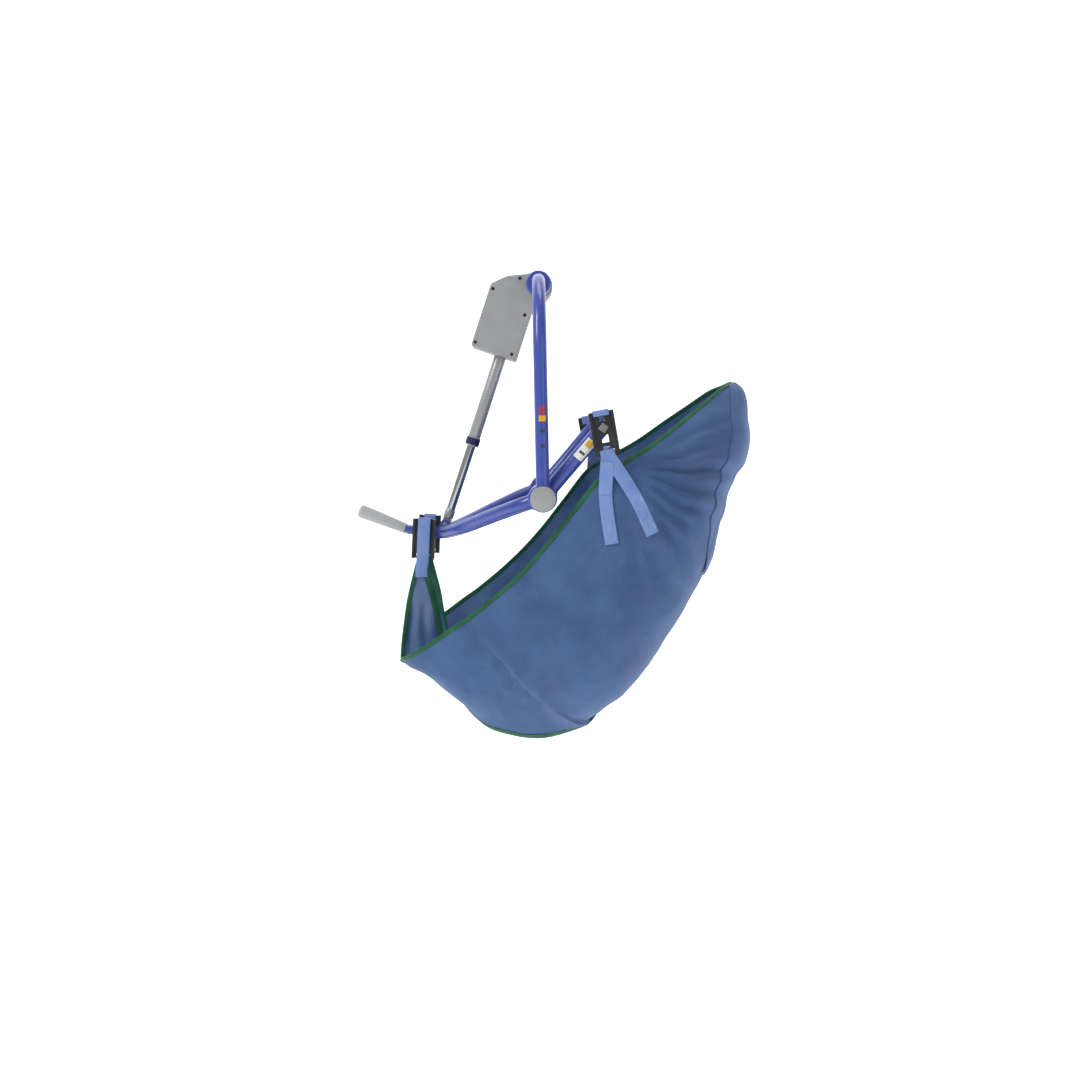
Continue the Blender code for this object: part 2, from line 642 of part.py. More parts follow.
WEBBING_CLEAR = 3.0 * MM       # keeps flat webbing off the curved cloth under it
BATTEN_SHARE = 0.16
BATTEN_CLEAR = 2.0 * MM        # a flat batten's edges come nearer the curved cloth than its middle


def across(station, share):
    """A point of the cloth at one station: share 0 is the middle line, 1 the outer edge."""
    inner, middle, outer = (Vector(p) * MM for p in STATIONS[station])
    return (inner * (1 - share) * (1 - 2 * share) + middle * 4 * share * (1 - share)
            + outer * share * (2 * share - 1))


def on_cloth(station, share, lift=0.0):
    """A point on the cloth at a fractional station, lifted off its outer face."""
    low = min(int(station), len(STATIONS) - 2)
    part = station - low

    def point(extra_station, extra_share):
        s = part + extra_station
        return across(low, share + extra_share).lerp(across(low + 1, share + extra_share), s)

    here = point(0, 0)
    along = point(0.05, 0) - here
    cross = point(0, 0.05) - here
    return here + cross.cross(along).normalized() * lift


def cloth_half(side):
    bm = bmesh.new()
    grid = []
    for station in range(len(STATIONS)):
        row = [across(station, i / CROSS_STEPS) for i in range(CROSS_STEPS + 1)]
        grid.append([bm.verts.new((p.x, -side * p.y, p.z)) for p in row])
    for one, two in zip(grid, grid[1:]):
        for i in range(CROSS_STEPS):
            bm.faces.new((one[i], one[i + 1], two[i + 1], two[i]))
    return bm


def build_sling(body):
    sheet = solid_of([cloth_half(-1), cloth_half(1)])
    bmesh.ops.remove_doubles(sheet, verts=sheet.verts, dist=MM / 10)
    bmesh.ops.recalc_face_normals(sheet, faces=sheet.faces)
    sling = add_piece("sling_body", sheet, MESH_BLUE, body, smooth_angle=60)
    wall = sling.modifiers.new("cloth", "SOLIDIFY")
    wall.thickness = CLOTH
    wall.offset = 0


def mirror_side(points, side):
    """Near-side points, mirrored for the far side."""
    return [Vector((p.x, -side * p.y, p.z)) for p in points]


def build_webbing(body):
    """The straps from the clips; their ends lie on the outside of the cloth."""
    lift = CLOTH / 2 + WEBBING_THICK / 2 + WEBBING_CLEAR
    shoulder_slot = clip_place(SHOULDER, -1, SHOULDER_CLIP_Y, SHOULDER_CLIP_LEAN)
    leg_slot = clip_place(LEG_LUG, -1, LEG_CLIP_Y, LEG_CLIP_LEAN)
    slot_z = CLIP_HEIGHT / 2 - LUG_ABOVE - CLIP_HEIGHT + 7 * MM
    for label, side in SIDES:
        behind = WEBBING_THICK / 2 + 2 * GAP
        mouth = [shoulder_slot @ Vector((0, behind, slot_z)),
                 shoulder_slot @ Vector((0, behind, slot_z - 9 * MM))]
        bands = []
        for start, route in zip((mouth, mouth[1:]), SHOULDER_BANDS):
            lying = [on_cloth(station, share, lift) for station, share in route]
            line = mirror_side(curve_through(start + lying, 3), side)
            outward = [Vector((0, side, 0))] * len(line)
            flats = [along.cross(out) for along, out in zip(directions(line), outward)]
            bands.append(strip(line, flats, WEBBING_WIDTH, WEBBING_THICK))
        webbing = add_piece(f"shoulder_webbing_{label}", bands[0], WEBBING_BLUE, body)
        shape(webbing, "UNION", bands[1])

        over = -CLIP_THICK - LUG_HEAD_THICK - 2 * GAP - WEBBING_THICK / 2 - GAP
        top = CLIP_HEIGHT / 2 - LUG_ABOVE
        line = [leg_slot @ Vector((0, over, top)), leg_slot @ Vector((0, over, top - CLIP_HEIGHT))]
        line += [on_cloth(station, 0.5, -lift) for station in (LAST - 0.05, LAST - 0.3)]
        line = mirror_side(line, side)
        flats = [Vector((1, 0, 0))] * len(line)
        add_piece(f"leg_webbing_{label}", strip(line, flats, WEBBING_WIDTH, WEBBING_THICK),
                  WEBBING_BLUE, body)


def build_battens(body):
    """Two stiffeners that keep the head section up, lying against the inside of the cloth."""
    width, thick = BATTEN
    lift = CLOTH / 2 + thick / 2 + BATTEN_CLEAR
    for label, side in SIDES:
        stations = [1.2 + 0.4 * i for i in range(12)]
        line = mirror_side([on_cloth(s, BATTEN_SHARE, -lift) for s in stations], side)
        ahead = mirror_side([on_cloth(s, BATTEN_SHARE + 0.05, -lift) for s in stations], side)
        flats = [b - a for a, b in zip(line, ahead)]
        add_piece(f"head_batten_{label}", strip(line, flats, width, thick), NYLON, body)


# ---- actuator -----------------------------------------------------------------------------

ACTUATOR = Matrix.Rotation(math.radians(ACTUATOR_LEAN), 4, "Y")


def local(s, w, y=0.0):
    """A point from the actuator's own sizes: s down its axis, w across, y along the hub."""
    return ACTUATOR @ Vector((w, y, -s))


def box_local(s, w, y):
    """A block given by its ranges down the axis, across, and along the hub."""
    bm = block((w[0], y[0], -s[1]), (w[1], y[1], -s[0]))
    bm.transform(ACTUATOR)
    return bm


def cross_rod(s, w, y, radius, segments=12):
    return rod(local(s, w, y[0]), local(s, w, y[1]), radius, segments=segments)


def housing_outline(inset):
    """Outline of the housing as (x, z) in the actuator's own axes, drawn in by inset."""
    left, right = COVER_LEFT + inset, COVER_RIGHT - inset
    top, bottom = -COVER_TOP - inset * 0.6, -COVER_BOTTOM + inset
    corner = COVER_CORNER_R - inset
    nose = NOSE_R - inset
    points = arc((left + corner, bottom + corner), corner, 270, 180, 4)
    points += [(left, top - 3 * MM), (left + 1.5 * MM, top)]
    points += [(-65.5 * MM + inset * 0.3, -1 * MM - inset), (-33 * MM, 13 * MM - inset)]
    points += arc((0, 0), nose, 105, -35, 12)
    points += [(right, -53 * MM)]
    points += arc((right - corner, bottom + corner), corner, 0, -90, 4)
    return points[::-1]


SCREW_PLACES = ((34.5, -85.0), (-2, -40), (64, -8), (146, -85.5), (146, -8.3))


def build_covers(body):
    posts = [(s * MM, w * MM) for s, w in SCREW_PLACES]
    tube_way = OUTER_TUBE_R + GAP
    for label, side in SIDES:
        outer = prism(housing_outline(0), side * COVER_HALF, side * GAP / 2)
        outer.transform(ACTUATOR)
        cover = add_piece(f"housing_cover_{label}", outer, HOUSING_GREY, body)
        floor = COVER_HALF - COVER_WALL
        inner = prism(housing_outline(COVER_WALL), side * floor, -side * 5 * MM)
        inner.transform(ACTUATOR)
        shape(cover, "DIFFERENCE", inner)
        shape(cover, "UNION", solid_of([cross_rod(s, w, (side * (floor + MM), side * GAP / 2), POST_R)
                                        for s, w in posts]))
        if side < 0:
            drills = [cross_rod(s, w, (-2 * COVER_HALF, MM), SCREW_R + GAP) for s, w in posts]
            sinks = [cross_rod(s, w, (-2 * COVER_HALF, 2.5 * MM - COVER_HALF), SCREW_HEAD_R + GAP)
                     for s, w in posts]
            shape(cover, "DIFFERENCE", solid_of(drills))
            shape(cover, "DIFFERENCE", solid_of(sinks))
        else:
            drills = [cross_rod(s, w, (-MM, COVER_HALF - 10 * MM), SCREW_R + GAP)
                      for s, w in posts]
            shape(cover, "DIFFERENCE", solid_of(drills))
        ways = [cross_rod(0, 0, (-2 * COVER_HALF, 2 * COVER_HALF), HUB_SHAFT_R + 2 * GAP, 24),
                rod(local(COVER_BOTTOM - 2 * COVER_WALL, SPINDLE_W),
                    local(COVER_BOTTOM + 2 * COVER_WALL, SPINDLE_W), tube_way)]
        shape(cover, "DIFFERENCE", solid_of(ways))
    for index, (s, w) in enumerate(posts, 1):
        head = 2.2 * MM
        length = 2 * COVER_HALF - 12 * MM
        profile = [(0, 0), (0, SCREW_HEAD_R), (head, SCREW_HEAD_R), (head, SCREW_R),
                   (length, SCREW_R), (length, 0)]
        screw = turned(local(s, w, 0.1 * MM - COVER_HALF), local(s, w, COVER_HALF), profile,
                       segments=12)
        add_piece(f"cover_screw_{index}", screw, SCREW_DARK, body)


def build_gear_block(body):
    """Cast block: rear eye, bearing seat, motor flange and tube socket in one piece."""
    low, high = SPINDLE_W - BLOCK_HALF_W, SPINDLE_W + BLOCK_HALF_W
    far_side = (BLOCK_NEAR, BLOCK_FAR)
    eye_half = COVER_HALF - COVER_WALL - 2 * MM
    casting = add_piece("gear_block", box_local((12 * MM, BLOCK_END), (low, high), far_side),
                        CAST, body)
    shape(casting, "UNION", cross_rod(0, 0, (-eye_half, eye_half), EYE_BLOCK_R, 24))
    shape(casting, "UNION", box_local((20 * MM, SOCKET_END), (low + MM, high - MM),
                                      (BLOCK_FAR - 4 * MM, BLOCK_FAR - GAP)))
    flange = box_local((FLANGE_START, FLANGE_END), (MOTOR_W - MOTOR_R, high), far_side)
    shape(casting, "UNION", flange)
    shape(casting, "UNION", box_local((SOCKET_START, SOCKET_END), (low, high), far_side))
    bush_r = HUB_SHAFT_R + RUN + REAR_BUSH_WALL
    bores = [cross_rod(0, 0, (-COVER_HALF, COVER_HALF), bush_r + GAP, 24),
             rod(local(SPINDLE_TOP - MM, SPINDLE_W), local(SOCKET_START - 4 * MM, SPINDLE_W),
                 SPINDLE_R + 2 * MM),
             rod(local(FLANGE_START - MM, MOTOR_W), local(FLANGE_END + MM, MOTOR_W), 4 * MM,
                 segments=12)]
    shape(casting, "DIFFERENCE", solid_of(bores))
    seats = [rod(local(BLOCK_END - 15 * MM, SPINDLE_W), local(BLOCK_END + MM, SPINDLE_W),
                 BEARING_R + GAP),
             rod(local(SOCKET_START - MM, SPINDLE_W), local(SOCKET_END + MM, SPINDLE_W),
                 OUTER_TUBE_R + GAP)]
    shape(casting, "DIFFERENCE", solid_of(seats))

    bush = ring((0, -eye_half, 0), (0, eye_half, 0), bush_r, HUB_SHAFT_R + RUN)
    add_piece("rear_bush", bush, BRONZE, body)
    bearing = ring(local(BLOCK_END - 14 * MM, SPINDLE_W), local(BLOCK_END, SPINDLE_W),
                   BEARING_R, SPINDLE_R + RUN)
    add_piece("spindle_bearing", bearing, STEEL, body)
    can = [(0, 0), (0, MOTOR_R), (MOTOR_LENGTH - 2 * MM, MOTOR_R),
           (MOTOR_LENGTH, MOTOR_R - 2 * MM), (MOTOR_LENGTH, 0)]
    motor = turned(local(FLANGE_END + GAP, MOTOR_W), local(COVER_BOTTOM, MOTOR_W), can)
    add_piece("motor", motor, STEEL, body)
    board = box_local((72 * MM, 112 * MM), (SPINDLE_W - 16 * MM, SPINDLE_W + 16 * MM),
                      (COVER_WALL - COVER_HALF + GAP, COVER_WALL - COVER_HALF + 2 * MM))
    add_piece("limit_switch_board", board, BOARD_GREEN, body)


def build_outer_tube(body):
    tube_bm = ring(local(SOCKET_START + GAP, SPINDLE_W), local(OUTER_TUBE_END, SPINDLE_W),
                   OUTER_TUBE_R, OUTER_TUBE_R - OUTER_TUBE_WALL)
    add_piece("outer_tube", tube_bm, TUBE_GREY, body)
    start = OUTER_TUBE_END + GAP - 4 * MM
    length = COLLAR_LENGTH
    bore = ROD_R + RUN
    lip = 4 * MM
    profile = [(0, OUTER_TUBE_R + GAP), (0, COLLAR_R), (length, COLLAR_R),
               (length + MM, COLLAR_R - MM), (length + MM, bore), (lip, bore),
               (lip, OUTER_TUBE_R + GAP)]
    collar = turned(local(start, SPINDLE_W), local(start + length, SPINDLE_W), profile)
    add_piece("collar_ring", collar, COLLAR_NAVY, body)


def toothed(start, end, teeth, pitch_r, bore, first_angle):
    """A spur wheel with straight-sided teeth; first_angle turns its first tooth from +X."""
    length = (end - start).length
    pitch = math.tau / teeth
    shares = ((-0.26, -TOOTH_IN), (-0.13, TOOTH_OUT), (0.13, TOOTH_OUT), (0.26, -TOOTH_IN))
    spots = [(first_angle + pitch * (i + turn), pitch_r + out)
             for i in range(teeth) for turn, out in shares]
    bm = bmesh.new()
    loops = []
    for z, inner in ((0, True), (0, False), (length, False), (length, True)):
        loops.append([bm.verts.new(((bore if inner else r) * math.cos(a),
                                    (bore if inner else r) * math.sin(a), z)) for a, r in spots])
    for one, two in zip(loops, loops[1:] + loops[:1]):
        for i in range(len(spots)):
            j = (i + 1) % len(spots)
            bm.faces.new((one[i], one[j], two[j], two[i]))
    bmesh.ops.recalc_face_normals(bm, faces=bm.faces)
    bmesh.ops.rotate(bm, verts=bm.verts, cent=(0, 0, 0), matrix=Matrix.Rotation(math.pi, 3, "X"))
    bm.transform(ACTUATOR @ Matrix.Translation(ACTUATOR.inverted() @ start))
    return bm


CENTRES = SPINDLE_W - MOTOR_W                     # between the spindle and the motor shaft
GEAR_R = CENTRES * GEAR_TEETH / (GEAR_TEETH + PINION_TEETH)
PINION_R = CENTRES - GEAR_R


def build_spindle(body):
    shaft = rod(local(SPINDLE_TOP, SPINDLE_W), local(SPINDLE_END, SPINDLE_W), SPINDLE_R, segments=16)
    add_piece("spindle", shaft, STEEL, body)
    gear = toothed(local(GEAR_START, SPINDLE_W), local(GEAR_START + GEAR_WIDTH, SPINDLE_W),
                   GEAR_TEETH, GEAR_R, SPINDLE_R + GAP, math.pi)
    add_piece("spindle_gear", gear, NYLON, body)


def build_pinion(body):
    shaft_r = 2.5 * MM
    shaft = rod(local(GEAR_START - 2 * MM, MOTOR_W), local(FLANGE_END, MOTOR_W), shaft_r, segments=12)
    add_piece("motor_shaft", shaft, STEEL, body)
    pinion = toothed(local(GEAR_START, MOTOR_W), local(GEAR_START + GEAR_WIDTH, MOTOR_W),
                     PINION_TEETH, PINION_R, shaft_r + GAP, math.pi / PINION_TEETH)
    add_piece("motor_pinion", pinion, STEEL, body)


def build_rod(body):
    pin_s = -(ACTUATOR.inverted() @ FRONT_PIN).z
    end_start = pin_s - ROD_END_LENGTH - 2 * TONGUE_R + 3 * MM
    push_rod = ring(local(ROD_TOP, SPINDLE_W), local(end_start, SPINDLE_W), ROD_R, ROD_R - ROD_WALL)
    add_piece("push_rod", push_rod, CHROME, body)
    nut = ring(local(ROD_TOP - GAP - NUT_LENGTH, SPINDLE_W), local(ROD_TOP - GAP, SPINDLE_W),
               OUTER_TUBE_R - OUTER_TUBE_WALL - GAP, SPINDLE_R + RUN)
    add_piece("drive_nut", nut, BRONZE, body)
    flare = ROD_END_LENGTH
    profile = [(GAP, 0), (GAP, ROD_R), (5 * MM, ROD_END_R), (flare, ROD_END_R),
               (flare + 2 * MM, TONGUE_HALF), (flare + 2 * MM, 0)]
    rod_end = add_piece("rod_end", turned(local(end_start, SPINDLE_W), local(pin_s, SPINDLE_W),
                                          profile), TUBE_GREY, body)
    tongue = cross_rod(pin_s, SPINDLE_W, (-TONGUE_HALF, TONGUE_HALF), TONGUE_R, 24)
    neck = box_local((end_start + flare - 2 * MM, pin_s), (SPINDLE_W - TONGUE_R, SPINDLE_W + TONGUE_R),
                     (-TONGUE_HALF, TONGUE_HALF))
    shape(rod_end, "UNION", tongue)
    shape(rod_end, "UNION", neck)
    shape(rod_end, "DIFFERENCE", cross_rod(pin_s, SPINDLE_W, (-2 * TONGUE_HALF, 2 * TONGUE_HALF),
                                           ROD_PIN_R + GAP))


def main():
    for leftover in list(bpy.data.objects):
        bpy.data.objects.remove(leftover)
    hanger = frame_empty("hanger_frame", (0, 0, 0))
    tilt = frame_empty("tilt_frame", PIVOT)
    actuator = frame_empty("actuator", (0, 0, 0), ACTUATOR_LEAN)
    spindle = frame_empty("spindle_axis", local(0, SPINDLE_W), ACTUATOR_LEAN)
    pinion = frame_empty("pinion_axis", local(0, MOTOR_W), ACTUATOR_LEAN)
    rod_slide = frame_empty("rod_slide", local(ROD_TOP, SPINDLE_W), ACTUATOR_LEAN)
    bpy.context.view_layer.update()
    build_hub(hanger)
    build_hoop(hanger)
    build_pivots(hanger)
    build_sleeves(tilt)
    build_arms(tilt)
    build_front(tilt)
    build_clips(tilt)
    build_sling(tilt)
    build_webbing(tilt)
    build_battens(tilt)
    build_covers(actuator)
    build_gear_block(actuator)
    build_outer_tube(actuator)
    build_spindle(spindle)
    build_pinion(pinion)
    build_rod(rod_slide)


main()
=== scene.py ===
"""Looks of a patient lift's powered positioning hanger and its clip sling.

Metres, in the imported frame: origin at the centre of the top hub, +X towards the patient's back,
-Y the near side, +Z up. The tubes and mouldings are remade finely where the working model is
plain, and the sling is one cut of mesh cloth that hangs on four clips.
"""
import json
import math

import bmesh
import bpy
from mathutils import Matrix, Vector, noise


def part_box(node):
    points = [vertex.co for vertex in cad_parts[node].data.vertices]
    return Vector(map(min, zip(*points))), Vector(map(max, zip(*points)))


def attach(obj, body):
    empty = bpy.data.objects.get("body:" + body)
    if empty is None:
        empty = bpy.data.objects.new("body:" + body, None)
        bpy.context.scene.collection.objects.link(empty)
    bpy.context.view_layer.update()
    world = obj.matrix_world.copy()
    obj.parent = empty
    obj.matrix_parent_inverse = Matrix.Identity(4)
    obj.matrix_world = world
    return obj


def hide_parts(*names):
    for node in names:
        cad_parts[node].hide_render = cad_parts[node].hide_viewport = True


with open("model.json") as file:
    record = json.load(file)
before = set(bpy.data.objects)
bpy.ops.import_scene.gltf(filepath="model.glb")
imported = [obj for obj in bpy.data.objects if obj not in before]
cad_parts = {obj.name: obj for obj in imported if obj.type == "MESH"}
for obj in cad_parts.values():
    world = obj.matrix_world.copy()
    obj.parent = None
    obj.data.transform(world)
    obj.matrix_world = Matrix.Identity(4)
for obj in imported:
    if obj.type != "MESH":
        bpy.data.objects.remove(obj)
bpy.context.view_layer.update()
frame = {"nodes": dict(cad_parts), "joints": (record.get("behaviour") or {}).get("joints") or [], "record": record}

MM = 0.001
SIDES = (("near", -1), ("far", 1))
BODY_OF = {node: body for body, nodes in frame["record"]["behaviour"]["bodies"].items()
           for node in nodes}
JOINTS = {joint["name"]: joint for joint in frame["joints"]}


def middle(node):
    low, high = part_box(node)
    return (low + high) / 2


# ---- sizes taken from the working model ---------------------------------------------------

PIVOT = Vector(JOINTS["tilt"]["pos_m"])
DOWN = Vector(JOINTS["rod_slide"]["axis"])                  # down the actuator
ACTUATOR = Matrix.Rotation(math.atan2(-DOWN.x, -DOWN.z), 4, "Y")
SPINDLE_W = (ACTUATOR.inverted() @ Vector(JOINTS["spindle_spin"]["pos_m"])).x

HUB_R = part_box("hub_end_near")[1].z
HUB_IN, HUB_OUT = -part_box("hub_end_near")[1].y, -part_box("hub_end_near")[0].y
EYE_IN, EYE_OUT = -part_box("hoop_eye_near")[1].y, -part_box("hoop_eye_near")[0].y
EYE_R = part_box("hoop_eye_near")[1].z - PIVOT.z
HOOP_HALF = (EYE_IN + EYE_OUT) / 2
SLEEVE_IN, SLEEVE_OUT = -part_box("pivot_sleeve_near")[1].y, -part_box("pivot_sleeve_near")[0].y
SLEEVE_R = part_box("pivot_sleeve_near")[1].z - PIVOT.z
CAP_OUT = -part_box("pivot_cap_near")[0].y
CAP_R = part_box("pivot_cap_near")[1].z - PIVOT.z
PIN_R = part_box("pivot_pin_near")[1].z - PIVOT.z
HOOP_LEAN = PIVOT.x / PIVOT.z
HOOP_BEND_R = 150 * MM
LEG_TUBE_R = 12.5 * MM
ARM_R = 14 * MM
BEAD_R = 2 * MM                                             # weld beads
HUB_BORE_R = 12.8 * MM
SLEEVE_BORE_R = 12.2 * MM
TUBE_BORE_R = 10.5 * MM                                     # the outer tube
ROD_R = 9 * MM
COLLAR_R = 14.5 * MM

CLIP_THICK = 5 * MM
CLIP_TOP = 30 * MM                                          # above the lug
CLIP_BOTTOM = -50 * MM
CLIP_SLOT = -43 * MM                                        # middle of the strap slot
LUG_HEAD_OUT = 9 * MM                                       # head's outer face, from the clip's back
SHOULDER_LEAN = -10
LEG_LEAN = 3
WEBBING_WIDTH = 25 * MM
WEBBING_THICK = 1.8 * MM
CLOTH_THICK = 2.2 * MM
BINDING = (9.5 * MM, 4 * MM)                                # tape folded over the cloth's edge
HEM_TAPE = (14 * MM, 4.4 * MM)                              # the same over the seat's hem


# ---- camera, floor and light --------------------------------------------------------------

def set_camera():
    eye = bpy.data.cameras.new("camera")
    eye.lens = 36.23
    camera = bpy.data.objects.new("camera", eye)
    camera.location = (0.003, -2.25, -0.300)
    camera.rotation_euler = (math.radians(90 - 5.46), 0, 0)
    bpy.context.scene.collection.objects.link(camera)
    bpy.context.scene.camera = camera


def area_light(name, place, aim, size, power):
    lamp = bpy.data.lights.new(name, "AREA")
    lamp.shape = "RECTANGLE"
    lamp.size, lamp.size_y = size
    lamp.energy = power
    light = bpy.data.objects.new(name, lamp)
    light.location = place
    light.rotation_euler = (Vector(aim) - Vector(place)).to_track_quat("-Z", "Y").to_euler()
    bpy.context.scene.collection.objects.link(light)


def set_studio():
    """A pale floor that curves up into the wall, large soft lights and an even surround."""
    floor_z, bend_y, bend_r, half = -1.45, 2.2, 1.6, 9.0
    profile = [(-9.0, floor_z)]
    profile += [(bend_y + bend_r * math.sin(a), floor_z + bend_r * (1 - math.cos(a)))
                for a in (math.radians(7.5 * i) for i in range(13))]
    profile += [(bend_y + bend_r, 6.0)]
    bm = bmesh.new()
    line = [bm.verts.new((-half, y, z)) for y, z in profile]
    edges = [bm.edges.new(pair) for pair in zip(line, line[1:])]
    grown = bmesh.ops.extrude_edge_only(bm, edges=edges)["geom"]
    moved = [item for item in grown if isinstance(item, bmesh.types.BMVert)]
    bmesh.ops.translate(bm, verts=moved, vec=(2 * half, 0, 0))
    mesh = bpy.data.meshes.new("studio_floor")
    bm.to_mesh(mesh)
    bm.free()
    mesh.shade_smooth()
    mesh.materials.append(pale_paper())
    floor = bpy.data.objects.new("studio_floor", mesh)
    bpy.context.scene.collection.objects.link(floor)

    surround = bpy.data.worlds.new("studio")
    surround.use_nodes = True
    glow = surround.node_tree.nodes["Background"].inputs
    glow["Color"].default_value = linear("F2F4F7")
    glow["Strength"].default_value = 0.42
    bpy.context.scene.world = surround
    area_light("key", (-1.9, -1.5, 1.6), (0.05, -0.1, -0.5), (0.9, 1.6), 44)
    area_light("fill", (2.2, -2.4, 0.2), (0, 0, -0.5), (1.0, 2.2), 9)
    area_light("top", (0.2, 0.3, 2.2), (0, 0, -0.4), (1.8, 1.2), 18)
    bpy.context.scene.view_settings.view_transform = "Standard"


# ---- materials ----------------------------------------------------------------------------

def linear(hex_colour):
    """sRGB hex to the linear colour that a shader takes."""
    channels = [int(hex_colour[i:i + 2], 16) / 255 for i in (0, 2, 4)]
    return [c / 12.92 if c <= 0.04045 else ((c + 0.055) / 1.055) ** 2.4 for c in channels] + [1.0]


def per(size):
    """Scale of a texture whose features are that many millimetres across."""
    return 1 / (size * MM)


def add_node(tree, kind, inputs=None, **settings):
    """One node, with its settings, and its inputs set to a value or joined to a socket."""
    made = tree.nodes.new(kind)
    for name, value in settings.items():
        setattr(made, name, value)
    for name, value in (inputs or {}).items():
        if isinstance(value, bpy.types.NodeSocket):
            tree.links.new(value, made.inputs[name])
        else:
            made.inputs[name].default_value = value
    return made


def new_material(name, values):
    """A material with its shader's sockets set, colours by hex; returns it, its tree and shader."""
    made = bpy.data.materials.new(name)
    made.use_nodes = True
    shader = made.node_tree.nodes["Principled BSDF"]
    for socket, value in values.items():
        shader.inputs[socket].default_value = linear(value) if isinstance(value, str) else value
    return made, made.node_tree, shader


def blend_colours(tree, factor, one, two):
    """Mixes two hex colours, or sockets, by a factor socket."""
    ends = [linear(c) if isinstance(c, str) else c for c in (one, two)]
    mixed = add_node(tree, "ShaderNodeMix", {0: factor, 6: ends[0], 7: ends[1]}, data_type="RGBA")
    return mixed.outputs[2]


def spread(tree, value, low, high, new_low=0.0, new_high=1.0):
    """Stretches a value from one range to another, held at the ends."""
    mapped = add_node(tree, "ShaderNodeMapRange", {0: value, 1: low, 2: high, 3: new_low, 4: new_high})
    return mapped.outputs[0]


def grain(tree, size, detail=2.0, stretch=None, coordinates=None):
    """Noise of a given grain size in millimetres, stretched along the axes if asked."""
    place = coordinates or add_node(tree, "ShaderNodeTexCoord").outputs["Object"]
    if stretch:
        place = add_node(tree, "ShaderNodeMapping", {"Vector": place, "Scale": stretch}).outputs[0]
    made = add_node(tree, "ShaderNodeTexNoise", {"Vector": place, "Scale": per(size), "Detail": detail})
    return made.outputs[0]


def raise_surface(tree, shader, height, depth, strength=1.0):
    """Bump of a depth in millimetres."""
    bump = add_node(tree, "ShaderNodeBump", {"Height": height, "Distance": depth * MM,
                                             "Strength": strength})
    tree.links.new(bump.outputs[0], shader.inputs["Normal"])


def paint(tree, shader, factor, one, two):
    """Colours the surface between two colours, by a factor socket."""
    tree.links.new(blend_colours(tree, factor, one, two), shader.inputs["Base Color"])


def cloth_coordinates(tree):
    """The cloth's own measures in metres, as made with the piece: across and along."""
    return [add_node(tree, "ShaderNodeAttribute", attribute_name=name).outputs["Fac"]
            for name in ("across", "along")]


def calculate(tree, operation, *values):
    made = add_node(tree, "ShaderNodeMath", dict(enumerate(values)), operation=operation)
    return made.outputs[0]


def pale_paper():
    """Matt background paper, near white."""
    return new_material("background paper", {"Roughness": 0.9, "Base Color": "F7F8FA",
                                             "Emission Color": "FFFFFF", "Emission Strength": 0.62})[0]


def blue_powder_coat():
    """Polyester powder coat on steel tube: glossy, with a faint orange peel, slightly worn."""
    made, tree, shader = new_material("blue powder coat", {"Coat Weight": 0.35, "Coat Roughness": 0.08})
    paint(tree, shader, grain(tree, 45), "33459A", "3F52A6")
    worn = spread(tree, grain(tree, 60, 3.0), 0.35, 0.75, 0.27, 0.34)
    tree.links.new(worn, shader.inputs["Roughness"])
    raise_surface(tree, shader, grain(tree, 7, 1.0), 0.012, 0.3)  # peel of 2 mm, drawn coarser
    return made


def housing_plastic():
    """Injection-moulded ABS with a fine spark-eroded texture: even grey, satin."""
    made, tree, shader = new_material("grey ABS moulding", {"Roughness": 0.52})
    paint(tree, shader, grain(tree, 30, 3.0), "969696", "A2A2A2")
    raise_surface(tree, shader, grain(tree, 0.9, 4.0), 0.06, 0.8)  # erosion of 0.2 mm, drawn coarser
    return made


def lacquered_tube():
    """Drawn aluminium under grey lacquer: fine lines run down the tube, with a satin gleam."""
    made, tree, shader = new_material("grey lacquered aluminium",
                                      {"Metallic": 0.35, "Roughness": 0.3, "Coat Weight": 0.3})
    place = add_node(tree, "ShaderNodeTexCoord").outputs["Object"]
    down_tube = add_node(tree, "ShaderNodeMapping", {"Vector": place, "Scale": (1, 1, 0.02),
                         "Rotation": (0, -math.atan2(-DOWN.x, -DOWN.z), 0)}).outputs[0]
    lines = grain(tree, 1.2, 3.0, coordinates=down_tube)
    paint(tree, shader, lines, "9A9A9B", "B4B4B5")
    raise_surface(tree, shader, lines, 0.03, 0.5)
    return made


def hard_chrome():
    """Hard chrome on a ground rod: mirror-like, with faint grinding lines round it."""
    made, tree, shader = new_material("hard chrome on ground steel",
                                      {"Base Color": "C4C4C4", "Metallic": 1.0})
    lines = grain(tree, 0.6, 2.0, stretch=(0.05, 0.05, 1))
    tree.links.new(spread(tree, lines, 0.3, 0.7, 0.10, 0.18), shader.inputs["Roughness"])
    raise_surface(tree, shader, lines, 0.01, 0.3)
    return made


def zinc_plate():
    """Bright zinc plate on turned steel: slightly cloudy."""
    made, tree, shader = new_material("zinc-plated steel", {"Metallic": 1.0})
    cloud = grain(tree, 6, 5.0)
    paint(tree, shader, cloud, "8E8E8C", "ABABA6")
    tree.links.new(spread(tree, cloud, 0.3, 0.7, 0.26, 0.42), shader.inputs["Roughness"])
    raise_surface(tree, shader, grain(tree, 0.8), 0.02, 0.4)
    return made


def blackened_steel():
    """Black-oxide screws: dark, oily satin."""
    made, tree, shader = new_material("blackened steel", {"Metallic": 0.9, "Roughness": 0.38})
    paint(tree, shader, grain(tree, 2, 4.0), "2E2B29", "54504B")
    return made


